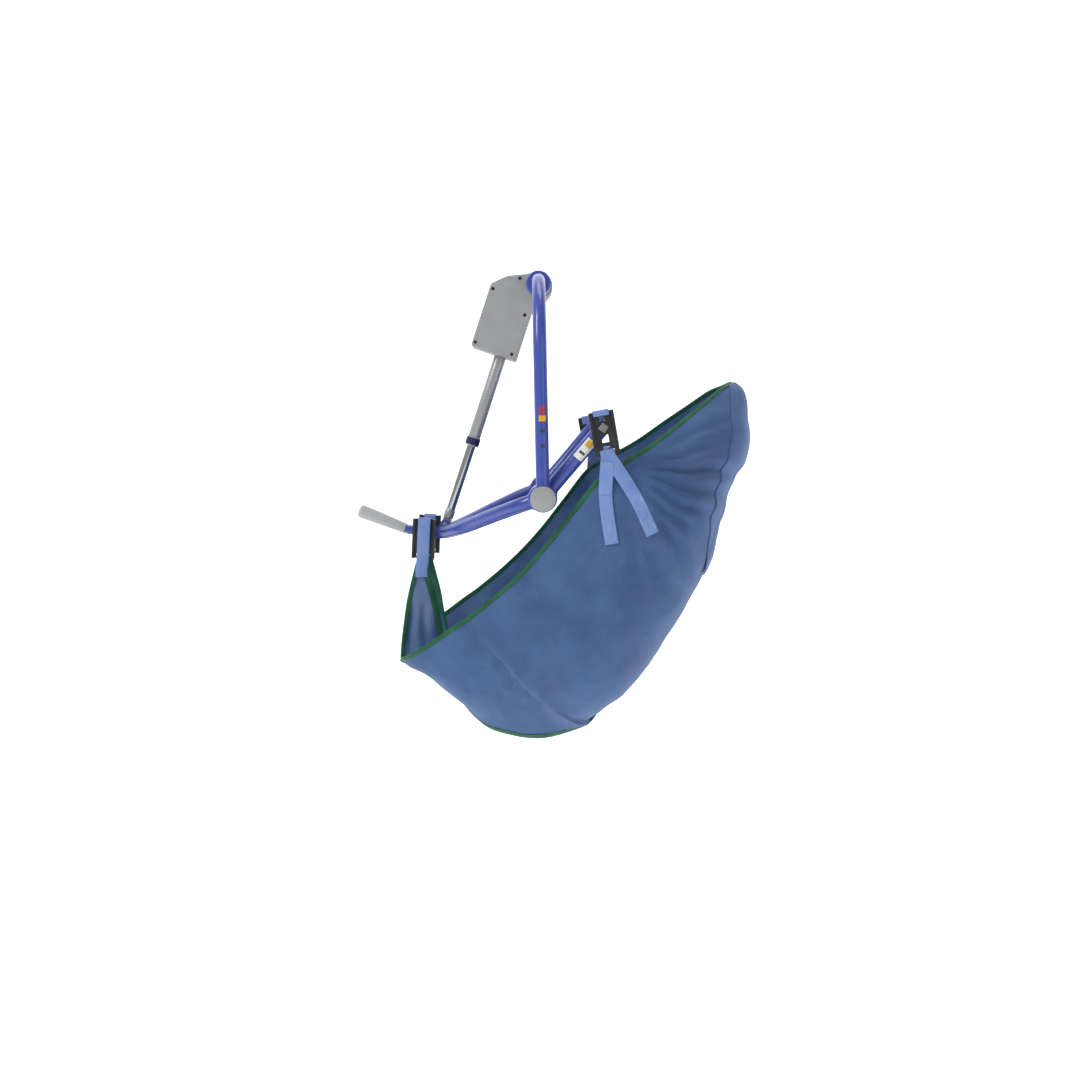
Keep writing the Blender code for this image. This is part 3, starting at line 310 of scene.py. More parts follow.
def cast_metal(name, dark, light, roughness):
    """Sand-cast or sintered metal: a fine, pitted skin."""
    made, tree, shader = new_material(name, {"Metallic": 1.0, "Roughness": roughness})
    paint(tree, shader, grain(tree, 5, 5.0), dark, light)
    raise_surface(tree, shader, grain(tree, 1.0, 5.0), 0.12, 0.8)
    return made


def moulded_nylon(name, dark, light, roughness, depth):
    """Moulded nylon: satin, with a fine even grain."""
    made, tree, shader = new_material(name, {})
    cloud = grain(tree, 12, 4.0)
    paint(tree, shader, cloud, dark, light)
    satin = spread(tree, cloud, 0.3, 0.7, roughness - 0.05, roughness + 0.07)
    tree.links.new(satin, shader.inputs["Roughness"])
    raise_surface(tree, shader, grain(tree, 0.8, 4.0), depth, 0.7)
    return made


def circuit_board():
    """Glass-fibre board under green solder mask, with copper tracks showing through."""
    made, tree, shader = new_material("circuit board", {"Roughness": 0.35})
    place = add_node(tree, "ShaderNodeTexCoord").outputs["Object"]
    tracks = add_node(tree, "ShaderNodeTexVoronoi", {"Vector": place, "Scale": per(5)},
                      distance="MANHATTAN").outputs["Distance"]
    paint(tree, shader, spread(tree, tracks, 0.45, 0.5), "2C5A3A", "3F7A4A")
    return made


def mesh_cloth(name, dark, light, worn):
    """Warp-knitted polyester mesh: small holes in rows with painted shade in them, a soft sheen and faint streaks.
    """
    made, tree, shader = new_material(name, {"Roughness": 0.78, "Sheen Weight": 0.35,
                                             "Sheen Roughness": 0.4, "Sheen Tint": "B8C8E8"})
    flat = add_node(tree, "ShaderNodeCombineXYZ", dict(enumerate(cloth_coordinates(tree)))).outputs[0]
    holes = add_node(tree, "ShaderNodeTexVoronoi", {"Vector": flat, "Scale": per(3.4),
                     "Randomness": 0.25}, voronoi_dimensions="2D").outputs["Distance"]
    yarn = spread(tree, holes, 0.12, 0.5)                         # net of 2 mm, drawn coarser
    cloud = grain(tree, 70, 4.0)
    base = blend_colours(tree, spread(tree, cloud, 0.35, 0.68), dark, light)
    washed = blend_colours(tree, spread(tree, grain(tree, 160, 2.0), 0.52, 0.75, 0, 0.5), base, worn)
    # painted shade: the yarn colour darkens into each hole, as if shade lay in the openings
    paint(tree, shader, spread(tree, yarn, 0, 1, 0.82, 1.0), "1C2C4C", washed)
    raise_surface(tree, shader, yarn, 0.5, 0.45)
    return made


def woven_tape(name, dark, light, rib, sheen):
    """Woven tape or webbing: fine ribs across it in a herringbone, with painted shade in their troughs, and a
    slight lustre.
    """
    made, tree, shader = new_material(name, {"Roughness": 0.62, "Sheen Weight": sheen,
                                             "Sheen Roughness": 0.35})
    across, along = cloth_coordinates(tree)
    chevron = calculate(tree, "PINGPONG", across, 3 * MM)         # 6 mm from V to V
    place = calculate(tree, "ADD", along, chevron)
    ribs = calculate(tree, "SINE", calculate(tree, "MULTIPLY", place, math.tau / (rib * MM)))
    lift = spread(tree, ribs, -1, 1)
    colour = blend_colours(tree, spread(tree, grain(tree, 25, 4.0), 0.3, 0.7), dark, light)
    # painted shade: the colour darkens in the troughs between the ribs, following their height
    paint(tree, shader, spread(tree, lift, 0, 1, 0.84, 1.0), "101828", colour)
    raise_surface(tree, shader, lift, 0.25, 0.5)
    return made


def printed_film(name, colour):
    """Printed polyester film: smooth and even, with a soft gloss."""
    made, tree, shader = new_material(name, {"Base Color": colour, "Roughness": 0.3})
    raise_surface(tree, shader, grain(tree, 3), 0.02, 0.4)
    return made


FINISH = {
    "blue_paint": blue_powder_coat(),
    "plated_steel": zinc_plate(),
    "grey_housing": housing_plastic(),
    "screw_steel": blackened_steel(),
    "grey_tube": lacquered_tube(),
    "navy_nylon": moulded_nylon("navy nylon", "101A48", "1A2658", 0.36, 0.03),
    "chrome_rod": hard_chrome(),
    "cast_block": cast_metal("cast aluminium", "8C8C8C", "AAAAAA", 0.5),
    "bronze": cast_metal("sintered bronze", "8A6A3E", "AC8A58", 0.42),
    "white_nylon": moulded_nylon("white nylon", "D2D0C8", "E0DED6", 0.48, 0.04),
    "board": circuit_board(),
    "clip_nylon": moulded_nylon("black glass-filled nylon", "17191C", "26292D", 0.42, 0.08),
    "grip": moulded_nylon("grey grip vinyl", "A4A4A5", "B6B6B6", 0.55, 0.10),
    "webbing": woven_tape("light blue webbing", "6C88C4", "7E98CE", 2.6, 0.2),
    "sling_mesh": mesh_cloth("blue mesh cloth", "335380", "42638F", "535B88"),
}
POCKET = mesh_cloth("doubled mesh over the stiffeners", "3A588A", "4A6B99", "5C6696")
LINING = mesh_cloth("inner face of the mesh", "4A6894", "6484AC", "7C8EB4")
GREEN_TAPE = woven_tape("green binding tape", "004C30", "00643C", 1.8, 0.0)
THREAD = woven_tape("pale blue thread", "9AB0E0", "AEC2EA", 1.0, 0.3)


# ---- making pieces ------------------------------------------------------------------------

def add_piece(name, bm, slot, body, stands_for=(), finish=None, sharp=40, bevel=0.0):
    """One finished piece on its body; bevel rounds its sharp edges by that much."""
    bmesh.ops.remove_doubles(bm, verts=bm.verts, dist=1e-6)
    bmesh.ops.recalc_face_normals(bm, faces=bm.faces)
    mesh = bpy.data.meshes.new(name)
    bm.to_mesh(mesh)
    bm.free()
    mesh.materials.append(finish or FINISH[slot])
    mesh.shade_smooth()
    mesh.set_sharp_from_angle(angle=math.radians(sharp))
    piece = bpy.data.objects.new(name, mesh)
    bpy.context.scene.collection.objects.link(piece)
    if bevel:
        rounding = piece.modifiers.new("rounded edges", "BEVEL")
        rounding.width = bevel
        rounding.segments = 2
        rounding.limit_method = "ANGLE"
        rounding.angle_limit = math.radians(35)
    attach(piece, body)
    if stands_for:
        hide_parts(*stands_for)
    return piece


def merged_copy(node):
    """A working-model node's own shape as one clean mesh, flat faces whole."""
    bm = bmesh.new()
    bm.from_mesh(frame["nodes"][node].data)
    bmesh.ops.remove_doubles(bm, verts=bm.verts, dist=1e-6)
    bmesh.ops.dissolve_limit(bm, angle_limit=math.radians(1), verts=bm.verts, edges=bm.edges)
    return bm


def remade(node, ending, bm, slot, **edges):
    """A finished piece that stands for one node, on that node's own body."""
    return add_piece(node + ending, bm, slot, BODY_OF[node], (node,), **edges)


def refined(node, slot, bevel):
    """A node's own shape with its edges rounded as the real casting or moulding has them."""
    return remade(node, "_finished", merged_copy(node), slot, bevel=bevel)


def thickened(piece, title, amount):
    """Gives a surface its thickness, half to each side."""
    made = piece.modifiers.new(title, "SOLIDIFY")
    made.thickness = amount
    made.offset = 0
    return made


def measure_layers(bm):
    """Each point's own measures in its cloth or tape: along and across."""
    return bm.verts.layers.float.new("along"), bm.verts.layers.float.new("across")


def carved(bm, tool):
    """A closed shape with another cut from it."""
    pair = []
    for shape in (bm, tool):
        mesh = bpy.data.meshes.new("carving")
        shape.to_mesh(mesh)
        shape.free()
        pair.append(bpy.data.objects.new("carving", mesh))
        bpy.context.scene.collection.objects.link(pair[-1])
    cut = pair[0].modifiers.new("carve", "BOOLEAN")
    cut.operation = "DIFFERENCE"
    cut.object = pair[1]
    bpy.context.view_layer.update()
    graph = bpy.context.evaluated_depsgraph_get()
    result = bmesh.new()
    result.from_mesh(pair[0].evaluated_get(graph).to_mesh())
    for done in pair:
        mesh = done.data
        bpy.data.objects.remove(done)
        bpy.data.meshes.remove(mesh)
    return result


def axis_matrix(start, way):
    """Carries a shape made along +Z from the origin to a start point and direction."""
    return Matrix.Translation(start) @ Vector(way).to_track_quat("Z", "Y").to_matrix().to_4x4()


def turned(start, way, profile, segments=64):
    """A turned shape: profile is a closed outline of (distance along, radius) from start."""
    bm = bmesh.new()
    points = [bm.verts.new((radius, 0, along)) for along, radius in profile]
    loop = [bm.edges.new(pair) for pair in zip(points, points[1:] + points[:1])]
    bmesh.ops.spin(bm, geom=points + loop, cent=(0, 0, 0), axis=(0, 0, 1), angle=math.tau,
                   steps=segments, use_merge=True, use_duplicate=False)
    bm.transform(axis_matrix(start, way))
    return bm


def drum(start, way, length, outer, inner, edge):
    """A turned ring whose outer edges are rounded."""
    corner = [(edge * (1 - math.sin(a)), outer - edge * (1 - math.cos(a)))
              for a in (math.radians(90), math.radians(60), math.radians(30), 0.0)]
    profile = [(0, inner)] + corner + [(length - s, r) for s, r in reversed(corner)] + [(length, inner)]
    return turned(start, way, profile)


def curve_through(points, per_span):
    """Points on a smooth curve through the given ones (Catmull-Rom)."""
    points = [Vector(p) for p in points]
    ends = [2 * points[0] - points[1]] + points + [2 * points[-1] - points[-2]]
    line = []
    for a, b, c, d in zip(ends, ends[1:], ends[2:], ends[3:]):
        for i in range(per_span):
            t = i / per_span
            line.append(0.5 * (2 * b + (c - a) * t + (2 * a - 5 * b + 4 * c - d) * t ** 2
                               + (3 * b - a - 3 * c + d) * t ** 3))
    return line + [points[-1]]


def frames_along(line, sides=None):
    """A frame at each point: Z along the line, X to its side, carried on without a twist."""
    before, after = [line[0]] + line[:-1], line[1:] + [line[-1]]
    side = (line[1] - line[0]).orthogonal()
    frames = []
    for index, point in enumerate(line):
        way = (after[index] - before[index]).normalized()
        side = Vector(sides[index]) if sides else side
        side = (side - way * side.dot(way)).normalized()
        turn = Matrix((side, way.cross(side), way)).transposed()
        frames.append(Matrix.Translation(point) @ turn.to_4x4())
    return frames


def swept(outline, frames, capped=True):
    """An outline drawn along frames; length and width stay on it as along and across."""
    bm = bmesh.new()
    along, across = measure_layers(bm)
    ring = [bm.verts.new(frames[0] @ Vector((x, y, 0))) for x, y in outline]
    for vert, (x, y) in zip(ring, outline):
        vert[across] = x
    edges = [bm.edges.new(pair) for pair in zip(ring, ring[1:] + ring[:1])]
    distance = 0.0
    for here, there in zip(frames, frames[1:]):
        distance += (there.translation - here.translation).length
        grown = bmesh.ops.extrude_edge_only(bm, edges=edges)["geom"]
        ring = {item for item in grown if isinstance(item, bmesh.types.BMVert)}
        edges = [item for item in grown if isinstance(item, bmesh.types.BMEdge)
                 and set(item.verts) <= ring]
        bmesh.ops.transform(bm, matrix=there @ here.inverted(), verts=list(ring))
        for vert in ring:
            vert[along] = distance
    if capped:
        bmesh.ops.holes_fill(bm, edges=bm.edges, sides=0)
    return bm


def circle(radius, segments=32):
    turns = [math.tau * i / segments for i in range(segments)]
    return [(radius * math.cos(a), radius * math.sin(a)) for a in turns]


def flat_band(width, thick):
    """Outline of a strap: flat faces and rounded edges."""
    half, r = width / 2 - thick / 2, thick / 2
    turns = [math.radians(a) for a in (-90, -45, 0, 45, 90)]
    right = [(half + r * math.cos(a), r * math.sin(a)) for a in turns]
    faces = [(half * share, r) for share in (0.5, 0.0, -0.5)]
    left = [(-x, -y) for x, y in right]
    return right + faces + left + [(-x, -y) for x, y in faces]


def strap(name, line, sides, width, stands_for=()):
    """Webbing along a line of points, pulled tight."""
    bm = swept(flat_band(width, WEBBING_THICK), frames_along(line, sides))
    piece = add_piece(name, bm, "webbing", "tilt_frame", stands_for, sharp=60)
    return piece


def joined(shapes):
    """Several shapes in one mesh."""
    whole = bmesh.new()
    for shape in shapes:
        mesh = bpy.data.meshes.new("part")
        shape.to_mesh(mesh)
        shape.free()
        whole.from_mesh(mesh)
        bpy.data.meshes.remove(mesh)
    return whole


def at_pivot(side, distance):
    return PIVOT + Vector((0, side * distance, 0))


# ---- hanger frame -------------------------------------------------------------------------

def weld_bead(name, centre, way, tube_r, drum_r, body):
    """The bead round a tube that stands on a drum lying along Y."""
    way = Vector(way).normalized()
    flat = way.cross(Vector((0, 1, 0)))
    line, out = [], []
    for step in range(49):
        turn = math.tau * (step % 48) / 48
        sideways = flat * math.cos(turn) + Vector((0, 1, 0)) * math.sin(turn)
        reach = math.sqrt(drum_r ** 2 - (tube_r * math.cos(turn)) ** 2)
        line.append(centre + way * reach + sideways * (tube_r + BEAD_R * 0.15))
        out.append(sideways)
    ripple = [1 + 0.10 * math.sin(step * 2.1) for step in range(49)]
    ripple[-1] = ripple[0]
    around = [line[-2]] + line + [line[1]]
    frames = frames_along(around, [out[-2]] + out + [out[1]])[1:-1]
    frames = [f @ Matrix.Diagonal((r, r, 1, 1)) for f, r in zip(frames, ripple)]
    add_piece(name, swept(circle(BEAD_R, 10), frames, capped=False), "blue_paint", body, sharp=80)


def hoop_line(side):
    """Centre line of a hoop leg, from the hub end out, round the bend and down to the eye."""
    bend_y = HOOP_HALF - HOOP_BEND_R
    flat = [(HUB_OUT - 2 * MM, 0.0)]
    turns = [math.radians(90 - 3 * i) for i in range(31)]
    flat += [(bend_y + HOOP_BEND_R * math.cos(a), HOOP_BEND_R * (math.sin(a) - 1)) for a in turns]
    flat += [(HOOP_HALF, z) for z in (-0.22, -0.30, PIVOT.z + EYE_R * 0.7)]
    return [Vector((HOOP_LEAN * z, side * y, z)) for y, z in flat]


def make_hanger_frame():
    for label, side in SIDES:
        out = Vector((0, side, 0))
        hub = drum(out * HUB_IN, out, HUB_OUT - HUB_IN, HUB_R, HUB_BORE_R, 3 * MM)
        remade(f"hub_end_{label}", "_turned", hub, "blue_paint")
        leg = swept(circle(LEG_TUBE_R, 40), frames_along(hoop_line(side)))
        eye_core = drum(at_pivot(side, EYE_IN - 2 * MM), out, EYE_OUT - EYE_IN + 4 * MM,
                        EYE_R - 0.5 * MM, 0, MM)
        remade(f"hoop_leg_{label}", "_tube", carved(leg, eye_core), "blue_paint")
        eye = drum(at_pivot(side, EYE_IN), out, EYE_OUT - EYE_IN, EYE_R, PIN_R + 0.3 * MM, 1.5 * MM)
        remade(f"hoop_eye_{label}", "_turned", eye, "blue_paint")
        rise = Vector((HOOP_LEAN, 0, 1))
        weld_bead(f"hoop_weld_{label}", at_pivot(side, HOOP_HALF), rise, LEG_TUBE_R, EYE_R, "hanger_frame")
        bead = drum(out * (HUB_OUT - 0.2 * MM), out, 2.4 * MM, LEG_TUBE_R + 2.2 * MM,
                    LEG_TUBE_R - MM, MM)
        add_piece(f"hub_weld_{label}", bead, "blue_paint", "hanger_frame")
        make_pivot_cap(label, side, out)


def make_pivot_cap(label, side, out):
    """Moulded cap with a stepped rim."""
    start = at_pivot(side, EYE_OUT + 0.3 * MM)
    height = CAP_OUT - EYE_OUT - 0.3 * MM
    dome = [(height - 2.6 * MM * (1 - math.cos(a)) - 0.2 * MM, (CAP_R - 4 * MM) * math.sin(a))
            for a in (math.radians(10 * i) for i in range(10))]
    profile = [(0, 0), (0, CAP_R), (height * 0.5, CAP_R), (height * 0.62, CAP_R - 0.6 * MM),
               (height * 0.66, CAP_R - 1.6 * MM)] + dome[::-1]
    remade(f"pivot_cap_{label}", "_moulded", turned(start, out, profile), "grey_housing", sharp=32)


# ---- tilt frame ---------------------------------------------------------------------------

ARM_Y = (SLEEVE_IN + SLEEVE_OUT) / 2
SHOULDER = middle("shoulder_lug_near")
SHOULDER_FACE = -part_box("shoulder_clip_near")[1].y          # back of the clip, from the middle plane
LEG_FACE = -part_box("leg_clip_near")[1].y
LEG_LUG = middle("leg_lug_near")
FORK_LOW, FORK_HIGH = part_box("rod_fork")
ARM_STANDOFF = 4 * MM                                       # arm to the back of the clip


def leg_arm_line(side):
    """From the sleeve forward and down, drawing in to the fork bracket."""
    end = Vector((FORK_HIGH.x - 13 * MM, side * 11 * MM, FORK_LOW.z + ARM_R))
    start = at_pivot(side, ARM_Y)
    route = ((0, 0, 0), (0.22, 0.07, 0.2), (0.48, 0.33, 0.48), (0.74, 0.64, 0.78), (0.93, 0.91, 0.97))
    points = [Vector(s + share * (e - s) for s, e, share in zip(start, end, shares))
              for shares in route]
    return curve_through(points + [end], 8)


def shoulder_arm_line(side):
    """From the sleeve up and back to the shoulder lug, with a slight bend outwards."""
    start = at_pivot(side, ARM_Y)
    lug = Vector((SHOULDER.x, 0, SHOULDER.z))
    end = lug + Vector((0, side * (SHOULDER_FACE - ARM_STANDOFF - ARM_R), 0))
    end += Vector((lug.x - PIVOT.x, 0, lug.z - PIVOT.z)).normalized() * ARM_R
    bend = start.lerp(end, 0.55) - Vector((0, side * 4 * MM, 0))
    return curve_through([start, bend, end], 12)


def make_arms():
    fork_half = FORK_HIGH.y + 0.2 * MM
    for label, side in SIDES:
        out = Vector((0, side, 0))
        core_ends = at_pivot(side, SLEEVE_IN - 2 * MM), out, SLEEVE_OUT - SLEEVE_IN + 4 * MM
        for arm, line in (("shoulder", shoulder_arm_line(side)), ("leg", leg_arm_line(side))):
            tube = carved(swept(circle(ARM_R, 40), frames_along(line)),
                          drum(*core_ends, SLEEVE_R - 0.5 * MM, 0, MM))
            if arm == "leg":
                bracket = bmesh.new()
                bmesh.ops.create_cube(bracket, size=2)
                bmesh.ops.scale(bracket, verts=bracket.verts, vec=(15.7 * MM, fork_half, 60 * MM))
                bmesh.ops.translate(bracket, verts=bracket.verts,
                                    vec=((FORK_LOW.x + FORK_HIGH.x) / 2, 0, FORK_LOW.z + 20 * MM))
                tube = carved(tube, bracket)
            remade(f"{arm}_arm_{label}", "_tube", tube, "blue_paint", bevel=1.2 * MM)
            way = Vector(line[6]) - Vector(line[1])
            way.y = 0
            weld_bead(f"{arm}_arm_weld_{label}", at_pivot(side, ARM_Y), way, ARM_R, SLEEVE_R, "tilt_frame")
        sleeve = drum(at_pivot(side, SLEEVE_IN), out, SLEEVE_OUT - SLEEVE_IN, SLEEVE_R, SLEEVE_BORE_R,
                      2 * MM)
        remade(f"pivot_sleeve_{label}", "_turned", sleeve, "blue_paint")
    refined("rod_fork", "blue_paint", 1.2 * MM)
    refined("front_bar", "blue_paint", 0.6 * MM)


GRIP_START = Vector((-272 * MM, 0, -492.5 * MM))            # its length is counted from here
GRIP_RISE = math.radians(21.6)
GRIP_BORE_R = 6.3 * MM
GRIP_RINGS = 8.5 * MM                                       # from one finger ring to the next


def make_grip():
    """Push-on grip: a flared collar, shallow finger rings and a rounded end."""
    way = Vector((-math.cos(GRIP_RISE), 0, math.sin(GRIP_RISE)))
    first, last, thin, thick = 4.3 * MM, 107 * MM, 10.5 * MM, 13.75 * MM
    profile = [(first, GRIP_BORE_R), (first, thin - 0.8 * MM), (first + MM, thin)]
    steps = 64
    for step in range(1, steps):
        along = first + MM + (last - 8 * MM - first - MM) * step / steps
        ring = 0.45 * MM * max(0.0, math.cos(math.tau * along / GRIP_RINGS)) ** 3
        profile.append((along, thin + (thick - thin) * step / steps - ring))
    crown = 7 * MM
    for degrees in range(0, 91, 15):
        turn = math.radians(degrees)
        profile.append((last - crown + crown * math.sin(turn), thick - crown * (1 - math.cos(turn))))
    profile += [(last, 0), (60 * MM, 0), (60 * MM, GRIP_BORE_R)]
    remade("handle_grip", "_moulded", turned(GRIP_START, way, profile), "grip", sharp=60)


# ---- clips and webbing --------------------------------------------------------------------

def clip_place(lug, side, face, lean):
    """From a clip's own axes (X across, Z up, -Y outwards, origin at the lug) to the frame."""
    place = Matrix.Translation(Vector((lug.x, side * face, lug.z)))
    place = place @ Matrix.Rotation(math.radians(lean), 4, "Y")
    return place @ Matrix.Diagonal((1, -side, 1, 1))


STITCH_R, STITCH, STITCH_GAP = 0.45 * MM, 3.2 * MM, 1.6 * MM


def stitch_line(points):
    """Short raised stitches along a line of points."""
    shapes = []
    for start, end in zip(points, points[1:]):
        run = end - start
        count = max(1, int(run.length / (STITCH + STITCH_GAP)))
        for index in range(count):
            a = start + run * ((index + 0.15) / count)
            b = start + run * ((index + 0.8) / count)
            shapes.append(swept(circle(STITCH_R, 6), frames_along([a, (a + b) / 2, b])))
    return shapes


def box_stitch(name, line, sides, lift_way, size):
    """A sewn box with a cross, on a strap that runs along line (two points)."""
    start, end = line
    side = Vector(sides) * (size / 2)
    lift = Vector(lift_way) * (WEBBING_THICK / 2)
    a, b, c, d = start - side + lift, start + side + lift, end + side + lift, end - side + lift
    shapes = stitch_line([a, b, c, d, a]) + stitch_line([a, c]) + stitch_line([b, d])
    return add_piece(name, joined(shapes), None, "tilt_frame", finish=THREAD, sharp=80)


def make_clips():
    for label, _ in SIDES:
        for place in ("shoulder", "leg"):
            refined(f"{place}_clip_{label}", "clip_nylon", 0.9 * MM)
            refined(f"{place}_lug_{label}", "plated_steel", 0.6 * MM)


EARLY_STEPS = 12               # the first points of a strap, which all lie the same way round
LAP = slice(26, 34)            # the part of the shoulder tail that is sewn double


def make_webbing():
    """Straps through the clips' slots and over their tops, sewn to the cloth below."""
    lift = CLOTH_THICK / 2 + WEBBING_THICK / 2 + 1.5 * MM
    behind = WEBBING_THICK / 2 + 0.6 * MM
    front = -CLIP_THICK - WEBBING_THICK / 2 - 0.4 * MM
    for label, side in SIDES:
        place = clip_place(SHOULDER, side, SHOULDER_FACE, SHOULDER_LEAN)
        across = (place.to_3x3() @ Vector((1, 0, 0))).normalized()
        over = [(behind, CLIP_TOP - 16 * MM), (behind, CLIP_TOP - 2 * MM),
                (-CLIP_THICK * 0.2, CLIP_TOP + 1.5 * MM), (-CLIP_THICK * 0.8, CLIP_TOP + 1.5 * MM),
                (front, CLIP_TOP - 2 * MM), (front, CLIP_TOP - 8 * MM)]
        line = curve_through([place @ Vector((0, y, z)) for y, z in over], 5)
        strap(f"shoulder_clip_loop_{label}", line, [across] * len(line), WEBBING_WIDTH + 5 * MM)

        mouth = [place @ Vector((0, behind, CLIP_SLOT + 12 * MM)),
                 place @ Vector((0, behind, CLIP_SLOT + 3 * MM)),
                 place @ Vector((0, -CLIP_THICK / 2, CLIP_SLOT - 0.5 * MM)),
                 place @ Vector((0, front - MM, CLIP_SLOT - 6 * MM))]
        outward = Vector((0, side, 0))
        for strap_name, route in STRAP_ROUTES.items():
            raise_by = lift if strap_name == "tail" else lift - WEBBING_THICK * 0.5
            lying = [on_side(on_cloth(*spot, raise_by), side) for spot in route]
            faces = [(point - on_side(on_cloth(*spot), side)).normalized()
                     for point, spot in zip(lying, route)]
            line = curve_through(mouth + lying, 8)
            normals = curve_through([outward] * len(mouth) + faces, 8)
            ways = [(b - a).normalized() for a, b in zip(line, line[1:])]
            sides = [way.cross(normal) for way, normal in zip(ways + ways[-1:], normals)]
            sides[:EARLY_STEPS] = [sides[EARLY_STEPS].normalized()] * EARLY_STEPS
            stands_for = (f"shoulder_webbing_{label}",) if strap_name == "tail" else ()
            strap(f"shoulder_{strap_name}_{label}", line, sides, WEBBING_WIDTH,
                  stands_for)
            seam = [line[-2], line[-9]]
            box_stitch(f"shoulder_{strap_name}_stitches_{label}", seam, sides[-2].normalized(),
                       faces[-1], WEBBING_WIDTH * 0.7)
            if strap_name == "tail":
                lap = [point + normal * (WEBBING_THICK + 0.3 * MM)
                       for point, normal in zip(line[LAP], normals[LAP])]
                strap(f"shoulder_lap_{label}", lap, sides[LAP], WEBBING_WIDTH)

        place = clip_place(LEG_LUG, side, LEG_FACE, LEG_LEAN)
        across = (place.to_3x3() @ Vector((1, 0, 0))).normalized()
        over_head = -LUG_HEAD_OUT - WEBBING_THICK / 2 - 0.4 * MM
        face = [(behind, CLIP_TOP - 14 * MM), (behind, CLIP_TOP - 2 * MM),
                (-CLIP_THICK * 0.4, CLIP_TOP + 1.8 * MM), (over_head * 0.85, CLIP_TOP + 0.5 * MM),
                (over_head, CLIP_TOP - 10 * MM), (over_head, 0), (over_head, CLIP_BOTTOM + 14 * MM),
                (over_head * 0.9, CLIP_BOTTOM - 2 * MM)]
        line = [place @ Vector((0, y, z)) for y, z in face]
        line += [on_side(on_cloth(LAST_STATION - above, 0.5, -lift), side) for above in (0.15, 0.4)]
        line = curve_through(line, 5)
        strap(f"leg_strap_{label}", line, [across] * len(line), WEBBING_WIDTH,
              (f"leg_webbing_{label}",))


# ---- sling --------------------------------------------------------------------------------

# Each row is one station from the top of the head section to the leg clip, in millimetres on
# the near half: a point of the middle line (later the seat's hem), one half way across the
# cloth, and one of the outer edge.
STATIONS = (
    ((391, 0, -191), (389, -24, -192), (380, -45, -197)),
    ((408, 0, -212), (403, -55, -213), (358, -78, -207)),
    ((413, 0, -270), (399, -95, -258), (322, -120, -234)),
    ((409, 0, -337), (386, -138, -315), (274, -165, -269)),
    ((386, 0, -385), (351, -172, -372), (216, -205, -312)),
    ((375, 0, -430), (318, -202, -425), (150, -243, -351)),
    ((366, 0, -482), (285, -226, -478), (108, -252, -379)),
    ((356, 0, -532), (258, -240, -540), (62, -246, -438)),
    ((326, 0, -605), (215, -246, -622), (8, -238, -507)),
    ((271, 0, -694), (160, -240, -710), (-40, -233, -560)),
    ((200, 0, -782), (100, -225, -790), (-88, -220, -604)),
    ((118, 0, -872), (38, -200, -826), (-135, -210, -642)),
    ((103, -70, -882), (18, -198, -818), (-149, -207, -652)),
    ((70, -98, -891), (-18, -195, -806), (-175, -202, -670)),
    ((10, -122, -900), (-82, -187, -806), (-212, -192, -697)),
    ((-50, -125, -894), (-140, -172, -806), (-245, -178, -718)),
    ((-108, -112, -876), (-190, -150, -790), (-268, -150, -733)),
    ((-150, -80, -832), (-215, -102, -778), (-275, -110, -745)),
    ((-180, -50, -760), (-228, -60, -745), (-278, -70, -720)),
    ((-200, -45, -680), (-238, -47, -680), (-274, -50, -672)),
    ((-210, -48, -625), (-238, -50, -625), (-266, -52, -625)),
    ((-228, -57, -558), (-238, -57, -558), (-249, -58, -558)),
)
SEAT_STATION = 11              # where the middle line ends and the seat's hem starts
LAST_STATION = len(STATIONS) - 1
ROWS = 10                      # rows of cloth between two stations
COLUMNS = 44                   # columns from the middle line to the outer edge
GATHER_AT = Vector((0.142, 0, -0.357))   # folds fan out from under the shoulder clip


def smooth_lines():
    """The inner, middle and outer lines of the near half, one point for each row."""
    lines = [curve_through([Vector(row[part]) * MM for row in STATIONS], ROWS) for part in range(3)]
    first = SEAT_STATION * ROWS
    for step in range(1, ROWS):                     # the hem leaves the middle line squarely
        share = step / ROWS
        lines[0][first + step].y = lines[0][first + ROWS].y * math.sqrt(1 - (1 - share) ** 2)
    return lines


LINES = smooth_lines()


def bare_point(station, share):
    """A point of the stretched cloth, before its folds."""
    place = min(max(station, 0.0), LAST_STATION) * ROWS
    low = min(int(place), len(LINES[0]) - 2)
    inner, middle_point, outer = (line[low].lerp(line[low + 1], place - low) for line in LINES)
    return (inner * (1 - share) * (1 - 2 * share) + middle_point * 4 * share * (1 - share)
            + outer * share * (2 * share - 1))


def ramp(value, low, high):
    share = min(1.0, max(0.0, (value - low) / (high - low)))
    return share * share * (3 - 2 * share)


STRAP_ROUTES = {"tail": ((6.15, 0.95), (6.6, 0.9), (7.15, 0.825)),
                "brace": ((5.85, 0.85), (6.5, 0.70))}
SEWN_DOWN = [[bare_point(*spot) for spot in route] for route in STRAP_ROUTES.values()]


def from_straps(point):
    """Distance to the nearest strap that is sewn to the cloth."""
    nearest = 1.0
    for spots in SEWN_DOWN:
        for start, end in zip(spots, spots[1:]):
            run = end - start
            share = min(1.0, max(0.0, (point - start).dot(run) / run.length_squared))
            nearest = min(nearest, (start + run * share - point).length)
    return nearest


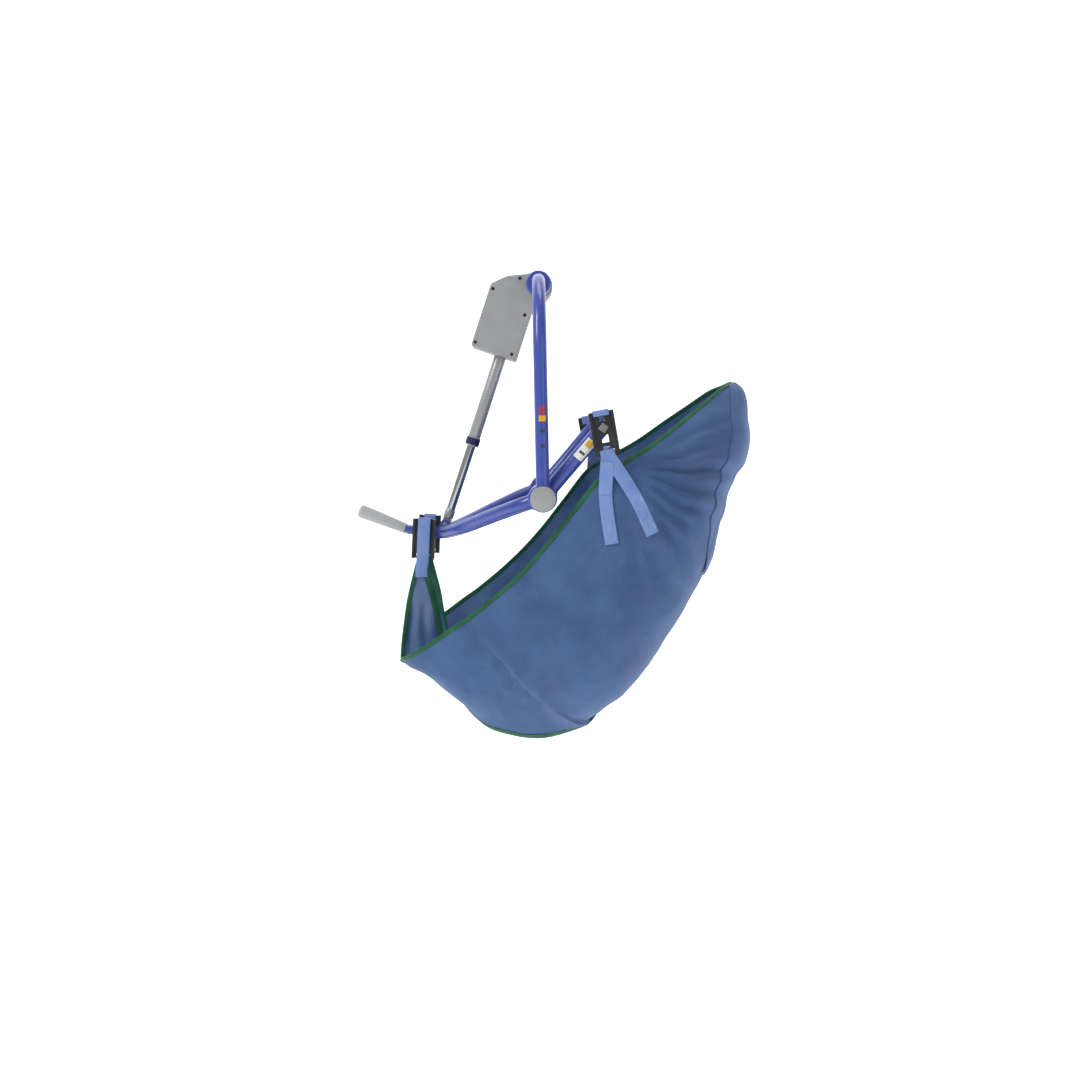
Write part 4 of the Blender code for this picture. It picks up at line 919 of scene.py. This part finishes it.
def relief(point, station, share):
    """How far the folds lift the cloth, outwards."""
    flat = Vector((point.x, 0, point.z))
    wander = noise.noise(flat * 14)
    away = flat - GATHER_AT
    turn = math.atan2(away.z, away.x) + 0.10 * wander
    fan = math.sin(turn * 29) * (0.65 + 0.5 * noise.noise(Vector((turn * 5, 1.7, 0))))
    reach = ramp(away.length, 0.035, 0.11) * (1 - ramp(away.length, 0.15, 0.29))
    gathers = 8.0 * MM * fan * reach * (1 - ramp(station, 7.4, 8.6))

    creases = noise.noise(Vector((flat.x * 42, 3.1, flat.z * 13)))
    creases = 1 - abs(creases) * 2.4
    hip = math.exp(-((flat.x + 0.01) / 0.11) ** 2 - ((flat.z + 0.765) / 0.07) ** 2)
    hips = 4.5 * MM * max(-0.6, creases) * hip

    down_leg = math.sin(share * math.tau * 2.6 + 1.3 * noise.noise(flat * 9) + 0.6)
    leg = 2.6 * MM * down_leg * ramp(station, 14.5, 18) * (1 - ramp(station, 19, 20))

    swell = 4.5 * MM * noise.noise(flat * 8 + Vector((0, 5.2, 0)))
    drag = 3.0 * MM * noise.noise(Vector((flat.x * 22 + flat.z * 16, 8.8, (flat.z - flat.x) * 6)))
    free = ramp(share, 0.0, 0.12) * (1 - 0.92 * ramp(share, 0.82, 0.985))
    pressed = ramp(from_straps(point), 0.012, 0.034)
    return ((gathers + leg) * (0.08 + 0.92 * free) + (hips + swell + drag) * free) * pressed


def on_cloth(station, share, lift=0.0):
    """A point on the near half of the cloth, lifted off its outer face."""
    here = bare_point(station, share)
    step = 0.04
    back = min(station, LAST_STATION - step)
    along = bare_point(back + step, share) - bare_point(back, share)
    inside = min(share, 1 - step)
    cross = bare_point(station, inside + step) - bare_point(station, inside)
    normal = cross.cross(along).normalized()
    return here + normal * (relief(here, station, share) + lift)


def on_side(point, side):
    """A point of the near half, on the given side."""
    return point * Vector((1, -side, 1))


def cloth_half(side):
    """One half of the cut as a grid of cloth, with its own measures along and across."""
    bm = bmesh.new()
    rows = LAST_STATION * ROWS
    bmesh.ops.create_grid(bm, x_segments=COLUMNS, y_segments=rows, size=0.5)
    along, across = measure_layers(bm)
    lengths = [0.0]
    for one, two in zip(LINES[1], LINES[1][1:]):
        lengths.append(lengths[-1] + (two - one).length)
    for vert in bm.verts:
        share, place = vert.co.x + 0.5, (vert.co.y + 0.5) * LAST_STATION
        row = min(int(round(place * ROWS)), rows)
        width = (LINES[1][row] - LINES[0][row]).length + (LINES[2][row] - LINES[1][row]).length
        vert[along] = lengths[row]
        vert[across] = side * share * max(width, 60 * MM)
        vert.co = on_side(on_cloth(place, share), side)
    return bm


PANEL_REACH = 0.9              # the head panel's edges, as shares of the cloth's half width
PANEL_TAPER = 0.095            # how much nearer the middle they come at each station down
PANEL_TOP = 0.2                # its upper edge, and its length, in stations
PANEL_LENGTH = 7.1
PANEL_CELLS = (60, 72)         # across and down
PANEL_SCALE = (330 * MM, 55 * MM)        # of its weave: for a whole half width, and for a station
STIFFENERS_AT = 0.16           # their middle, as a share of the half width


def make_cloth():
    bm = joined([cloth_half(-1), cloth_half(1)])
    bmesh.ops.remove_doubles(bm, verts=bm.verts, dist=0.05 * MM)
    cloth = add_piece("sling_cloth", bm, "sling_mesh", "tilt_frame", ("sling_body",), sharp=80)
    cloth.data.materials.append(LINING)
    thickened(cloth, "cloth thickness", CLOTH_THICK).material_offset = 1
    return cloth


def edge_band(name, points, inwards, size):
    """Tape folded over an edge: a thick, round-cornered band along it."""
    width, thick = size
    half, r = width / 2, thick / 2
    over = half - MM                                # it reaches 1 mm past the cloth's edge
    outline = [(over + (half - r * 0.6) * x + r * 0.6 * math.cos(a), r * math.sin(a))
               for x, first in ((1, -90), (-1, 90))
               for a in (math.radians(first + 22.5 * i) for i in range(9))]
    frames = frames_along(points, inwards)
    return add_piece(name, swept(outline, frames), None, "tilt_frame", finish=GREEN_TAPE, sharp=60)


def bound_edge(route):
    """Points on the cloth's edge and the ways into it: a side, a spot on the edge, a spot inside."""
    points, inwards = [], []
    for side, station, share, inner_station, inner_share in route:
        at_edge = on_cloth(station, share)
        inside = on_cloth(inner_station, inner_share)
        points.append(on_side(at_edge, side))
        inwards.append(on_side(inside - at_edge, side))
    return points, inwards


def hem_inwards(here, station):
    """From the seat's hem into the cloth: up the back at the tail, and across it further on."""
    up = (bare_point(SEAT_STATION - 0.5, 0.0) - here).normalized()
    across = (on_cloth(max(station, SEAT_STATION + 0.2), 0.03)
              - on_cloth(max(station, SEAT_STATION + 0.2), 0.0)).normalized()
    return up.lerp(across, ramp(station - SEAT_STATION, 0.3, 1.3))


def make_bindings():
    """Green tape round the whole outer edge, and round the seat's hem."""
    steps = [LAST_STATION - i / ROWS for i in range(LAST_STATION * ROWS - 3)]
    near = [(-1, s, 1.0, s, 0.97) for s in steps]
    top = [(-1, 0.0, share, 0.2, share) for share in (0.9, 0.7, 0.5, 0.3, 0.1)]
    far_top = [(1, s, share, t, u) for _, s, share, t, u in top[::-1]]
    far = [(1, s, share, t, u) for _, s, share, t, u in near[::-1]]
    bindings = [edge_band("outer_binding", *bound_edge(near + top + far_top + far), BINDING)]
    half = []
    for station in [LAST_STATION - i / ROWS for i in range((LAST_STATION - SEAT_STATION) * ROWS)]:
        here = on_cloth(station, 0.0)
        half.append((here, hem_inwards(here, station)))
    tail = bare_point(SEAT_STATION, 0.0)
    route = half + [(tail, hem_inwards(tail, SEAT_STATION))]
    route += [(on_side(point, 1), on_side(way, 1)) for point, way in half[::-1]]
    bindings.append(edge_band("seat_binding", [point for point, _ in route],
                              [way for _, way in route], HEM_TAPE))
    return bindings


def make_head_panel():
    """Two nylon stiffeners, and the panel of doubled mesh that is sewn over them."""
    stations = [0.35 + 0.25 * i for i in range(27)]
    lift = CLOTH_THICK / 2 + 1.6 * MM
    for label, side in SIDES:
        line, outer = ([on_side(on_cloth(s, share, lift), side) for s in stations]
                       for share in (STIFFENERS_AT, STIFFENERS_AT + 0.06))
        stiffener = swept(flat_band(16 * MM, 2.2 * MM),
                          frames_along(line, [b - a for a, b in zip(line, outer)]))
        add_piece(f"head_stiffener_{label}", stiffener, "clip_nylon", "tilt_frame",
                  (f"head_batten_{label}",), sharp=60)
    bm = bmesh.new()
    bmesh.ops.create_grid(bm, x_segments=PANEL_CELLS[0], y_segments=PANEL_CELLS[1], size=0.5)
    along, across = measure_layers(bm)
    for vert in bm.verts:
        station = PANEL_TOP + (vert.co.y + 0.5) * PANEL_LENGTH
        share = vert.co.x * 2 * (PANEL_REACH - PANEL_TAPER * station)
        padded = ramp(abs(share), 0.04, 0.10) * (1 - ramp(abs(share), 0.22, 0.28))
        point = on_cloth(station, abs(share), CLOTH_THICK / 2 + (1.0 + 3.0 * padded) * MM)
        vert[across], vert[along] = share * PANEL_SCALE[0], station * PANEL_SCALE[1]
        vert.co = (point.x, point.y if share < 0 else -point.y, point.z)
        if abs(share) < 1e-6:
            vert.co.y = 0.0
    panel = add_piece("head_panel", bm, None, "tilt_frame", finish=POCKET, sharp=80)
    thickened(panel, "panel thickness", 1.2 * MM)
    return panel


# ---- actuator -----------------------------------------------------------------------------

def local(s, w):
    """A point in the actuator's middle plane: s down its axis, w across."""
    return ACTUATOR @ Vector((w, 0, -s))


def reach_down(node):
    """Where a node starts and ends down the actuator's axis."""
    ends = [-(ACTUATOR.inverted() @ v.co).z for v in frame["nodes"][node].data.vertices]
    return min(ends), max(ends)


COVER_FACE_Y = 35 * MM
SCREW_CLEAR, EYE_CLEAR = 7 * MM, 14 * MM                    # left sharp round screws and rear eye


def make_covers():
    screws = [middle(f"cover_screw_{i}") for i in range(1, 6)]
    for label, side in SIDES:
        node = f"housing_cover_{label}"
        bm = merged_copy(node)
        face_y = side * COVER_FACE_Y
        rim = [e for e in bm.edges if all(abs(v.co.y - face_y) < 0.05 * MM for v in e.verts)
               and all(((v.co.x - s.x) ** 2 + (v.co.z - s.z) ** 2) > SCREW_CLEAR ** 2
                       for v in e.verts for s in screws)
               and all(math.hypot(v.co.x, v.co.z) > EYE_CLEAR for v in e.verts)
               and e.calc_face_angle(0) > 0.5]
        bmesh.ops.bevel(bm, geom=rim, offset=2.2 * MM, segments=4, profile=0.5, affect="EDGES",
                        material=-1, offset_type="OFFSET", clamp_overlap=True)
        remade(node, "_moulded", bm, "grey_housing", sharp=35, bevel=0.35 * MM)
    for index, centre in enumerate(screws, 1):
        make_screw(index, centre)


def make_screw(index, centre):
    """Pan-head screw with a hexagon socket."""
    node = f"cover_screw_{index}"
    low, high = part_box(node)
    head_r = (high.x - low.x) / 2
    profile = [(0, 0), (0, head_r * 0.72), (0.5 * MM, head_r * 0.95), (MM, head_r), (2.2 * MM, head_r),
               (2.2 * MM, 1.7 * MM), (high.y - low.y, 1.7 * MM), (high.y - low.y, 0)]
    head = turned(Vector((centre.x, low.y, centre.z)), (0, 1, 0), profile, segments=32)
    socket = turned(Vector((centre.x, low.y - MM, centre.z)), (0, 1, 0),
                    [(0, 0), (0, 1.5 * MM), (2.2 * MM, 1.5 * MM), (2.2 * MM, 0)], segments=6)
    remade(node, "_socket_head", carved(head, socket), "screw_steel", sharp=35)


def make_tube_and_rod():
    start, end = reach_down("outer_tube")
    outer = drum(local(start, SPINDLE_W), DOWN, end - start, 12.5 * MM, TUBE_BORE_R, 0.6 * MM)
    remade("outer_tube", "_drawn", outer, "grey_tube")

    start, end = reach_down("collar_ring")
    mouth, bore, length = 12.8 * MM, 9.25 * MM, end - start
    profile = [(0, mouth), (0, 14.0 * MM), (0.5 * MM, COLLAR_R), (length - 1.5 * MM, COLLAR_R),
               (length - 0.4 * MM, 13.6 * MM), (length, mouth), (length, bore),
               (4 * MM, bore), (4 * MM, mouth)]
    remade("collar_ring", "_moulded", turned(local(start, SPINDLE_W), DOWN, profile), "navy_nylon",
           sharp=35)
    for name, at, wide in (("collar_upper_lip", start - 2.2 * MM, 2.2), ("collar_lower_lip", end - MM, 2.4)):
        lip = drum(local(at, SPINDLE_W), DOWN, wide * MM, 14.2 * MM, 12.55 * MM, 0.6 * MM)
        add_piece(name, lip, "grey_tube", "actuator", sharp=35)

    start, end = reach_down("push_rod")
    chrome = drum(local(start, SPINDLE_W), DOWN, end - start, ROD_R, 7 * MM, 0.4 * MM)
    remade("push_rod", "_chromed", chrome, "chrome_rod")
    refined("rod_end", "grey_tube", 0.5 * MM)


def finish_inner_parts():
    """Pieces inside the others keep their working shapes."""
    slots = {"hub_shaft": "plated_steel", "gear_block": "cast_block", "rear_bush": "bronze",
             "spindle_bearing": "plated_steel", "motor": "plated_steel", "limit_switch_board": "board",
             "spindle": "plated_steel", "spindle_gear": "white_nylon", "motor_shaft": "plated_steel",
             "motor_pinion": "plated_steel", "drive_nut": "bronze"}
    for label, _ in SIDES:
        slots |= {f"pivot_pin_{label}": "plated_steel", f"pivot_bush_{label}": "white_nylon",
                  f"rod_pin_{label}": "plated_steel"}
    for node, slot in slots.items():
        frame["nodes"][node].data.materials[0] = FINISH[slot]


# ---- labels -------------------------------------------------------------------------------

def film_patch(name, tube, place, radius, length, angle, turn, finish, body, lift):
    """A thin film bent round a tube: place is its distance along the tube's own frame."""
    bm = bmesh.new()
    half = math.radians(angle) / 2
    reach = radius + lift
    start = bm.verts.new((reach * math.cos(-half), reach * math.sin(-half), place - length / 2))
    end = bm.verts.new((reach * math.cos(-half), reach * math.sin(-half), place + length / 2))
    edge = bm.edges.new((start, end))
    bmesh.ops.spin(bm, geom=[start, end, edge], cent=(0, 0, 0), axis=(0, 0, 1), angle=2 * half,
                   steps=12, use_merge=False, use_duplicate=False)
    bm.normal_update()
    bmesh.ops.solidify(bm, geom=bm.faces[:], thickness=0.12 * MM)
    bm.transform(tube @ Matrix.Rotation(math.radians(turn), 4, "Z"))
    return add_piece(name, bm, None, body, finish=finish, sharp=50)


def make_labels():
    """Plain printed labels: coloured blocks only."""
    paper = printed_film("white label film", "E6E4DC")
    amber = printed_film("amber print", "D9A520")
    dark = printed_film("dark print", "3A3C44")
    red = printed_film("red print", "9C3B46")
    line = shoulder_arm_line(-1)
    foot = line[12]
    way = (line[-1] - foot).normalized()
    side = Vector((0, -1, 0))
    side = (side - way * side.dot(way)).normalized()
    turn = Matrix((side, way.cross(side), way)).transposed().to_4x4()
    arm = Matrix.Translation(foot) @ turn
    span = (line[-1] - foot).length
    for name, below, length, angle, film, lift in (
            ("arm_label", 64, 44, 84, paper, 0.1), ("arm_label_amber_block", 51, 14, 52, amber, 0.25),
            ("arm_label_dark_bar", 72, 5, 48, dark, 0.25)):
        film_patch(name, arm, span - below * MM, ARM_R, length * MM, angle, 4, film, "tilt_frame",
                   lift * MM)
    for name, height, length, angle, film in (
            ("leg_label_red", -253, 15, 62, red), ("leg_label_amber", -268, 11, 62, amber),
            ("leg_label_dark_upper", -290, 7, 40, dark), ("leg_label_dark_lower", -318, 7, 40, dark)):
        upright = Matrix.Translation((HOOP_LEAN * height * MM, -HOOP_HALF, height * MM))
        upright = upright @ Matrix.Rotation(math.radians(-90), 4, "Z")
        film_patch(name, upright, 0, LEG_TUBE_R, length * MM, angle, 8, film, "hanger_frame", 0.15 * MM)


# ---- all of it ----------------------------------------------------------------------------

set_camera()
set_studio()
make_hanger_frame()
make_arms()
make_grip()
make_clips()
sling = make_cloth()
make_bindings()
make_webbing()
make_head_panel()
make_covers()
make_tube_and_rod()
finish_inner_parts()
make_labels()
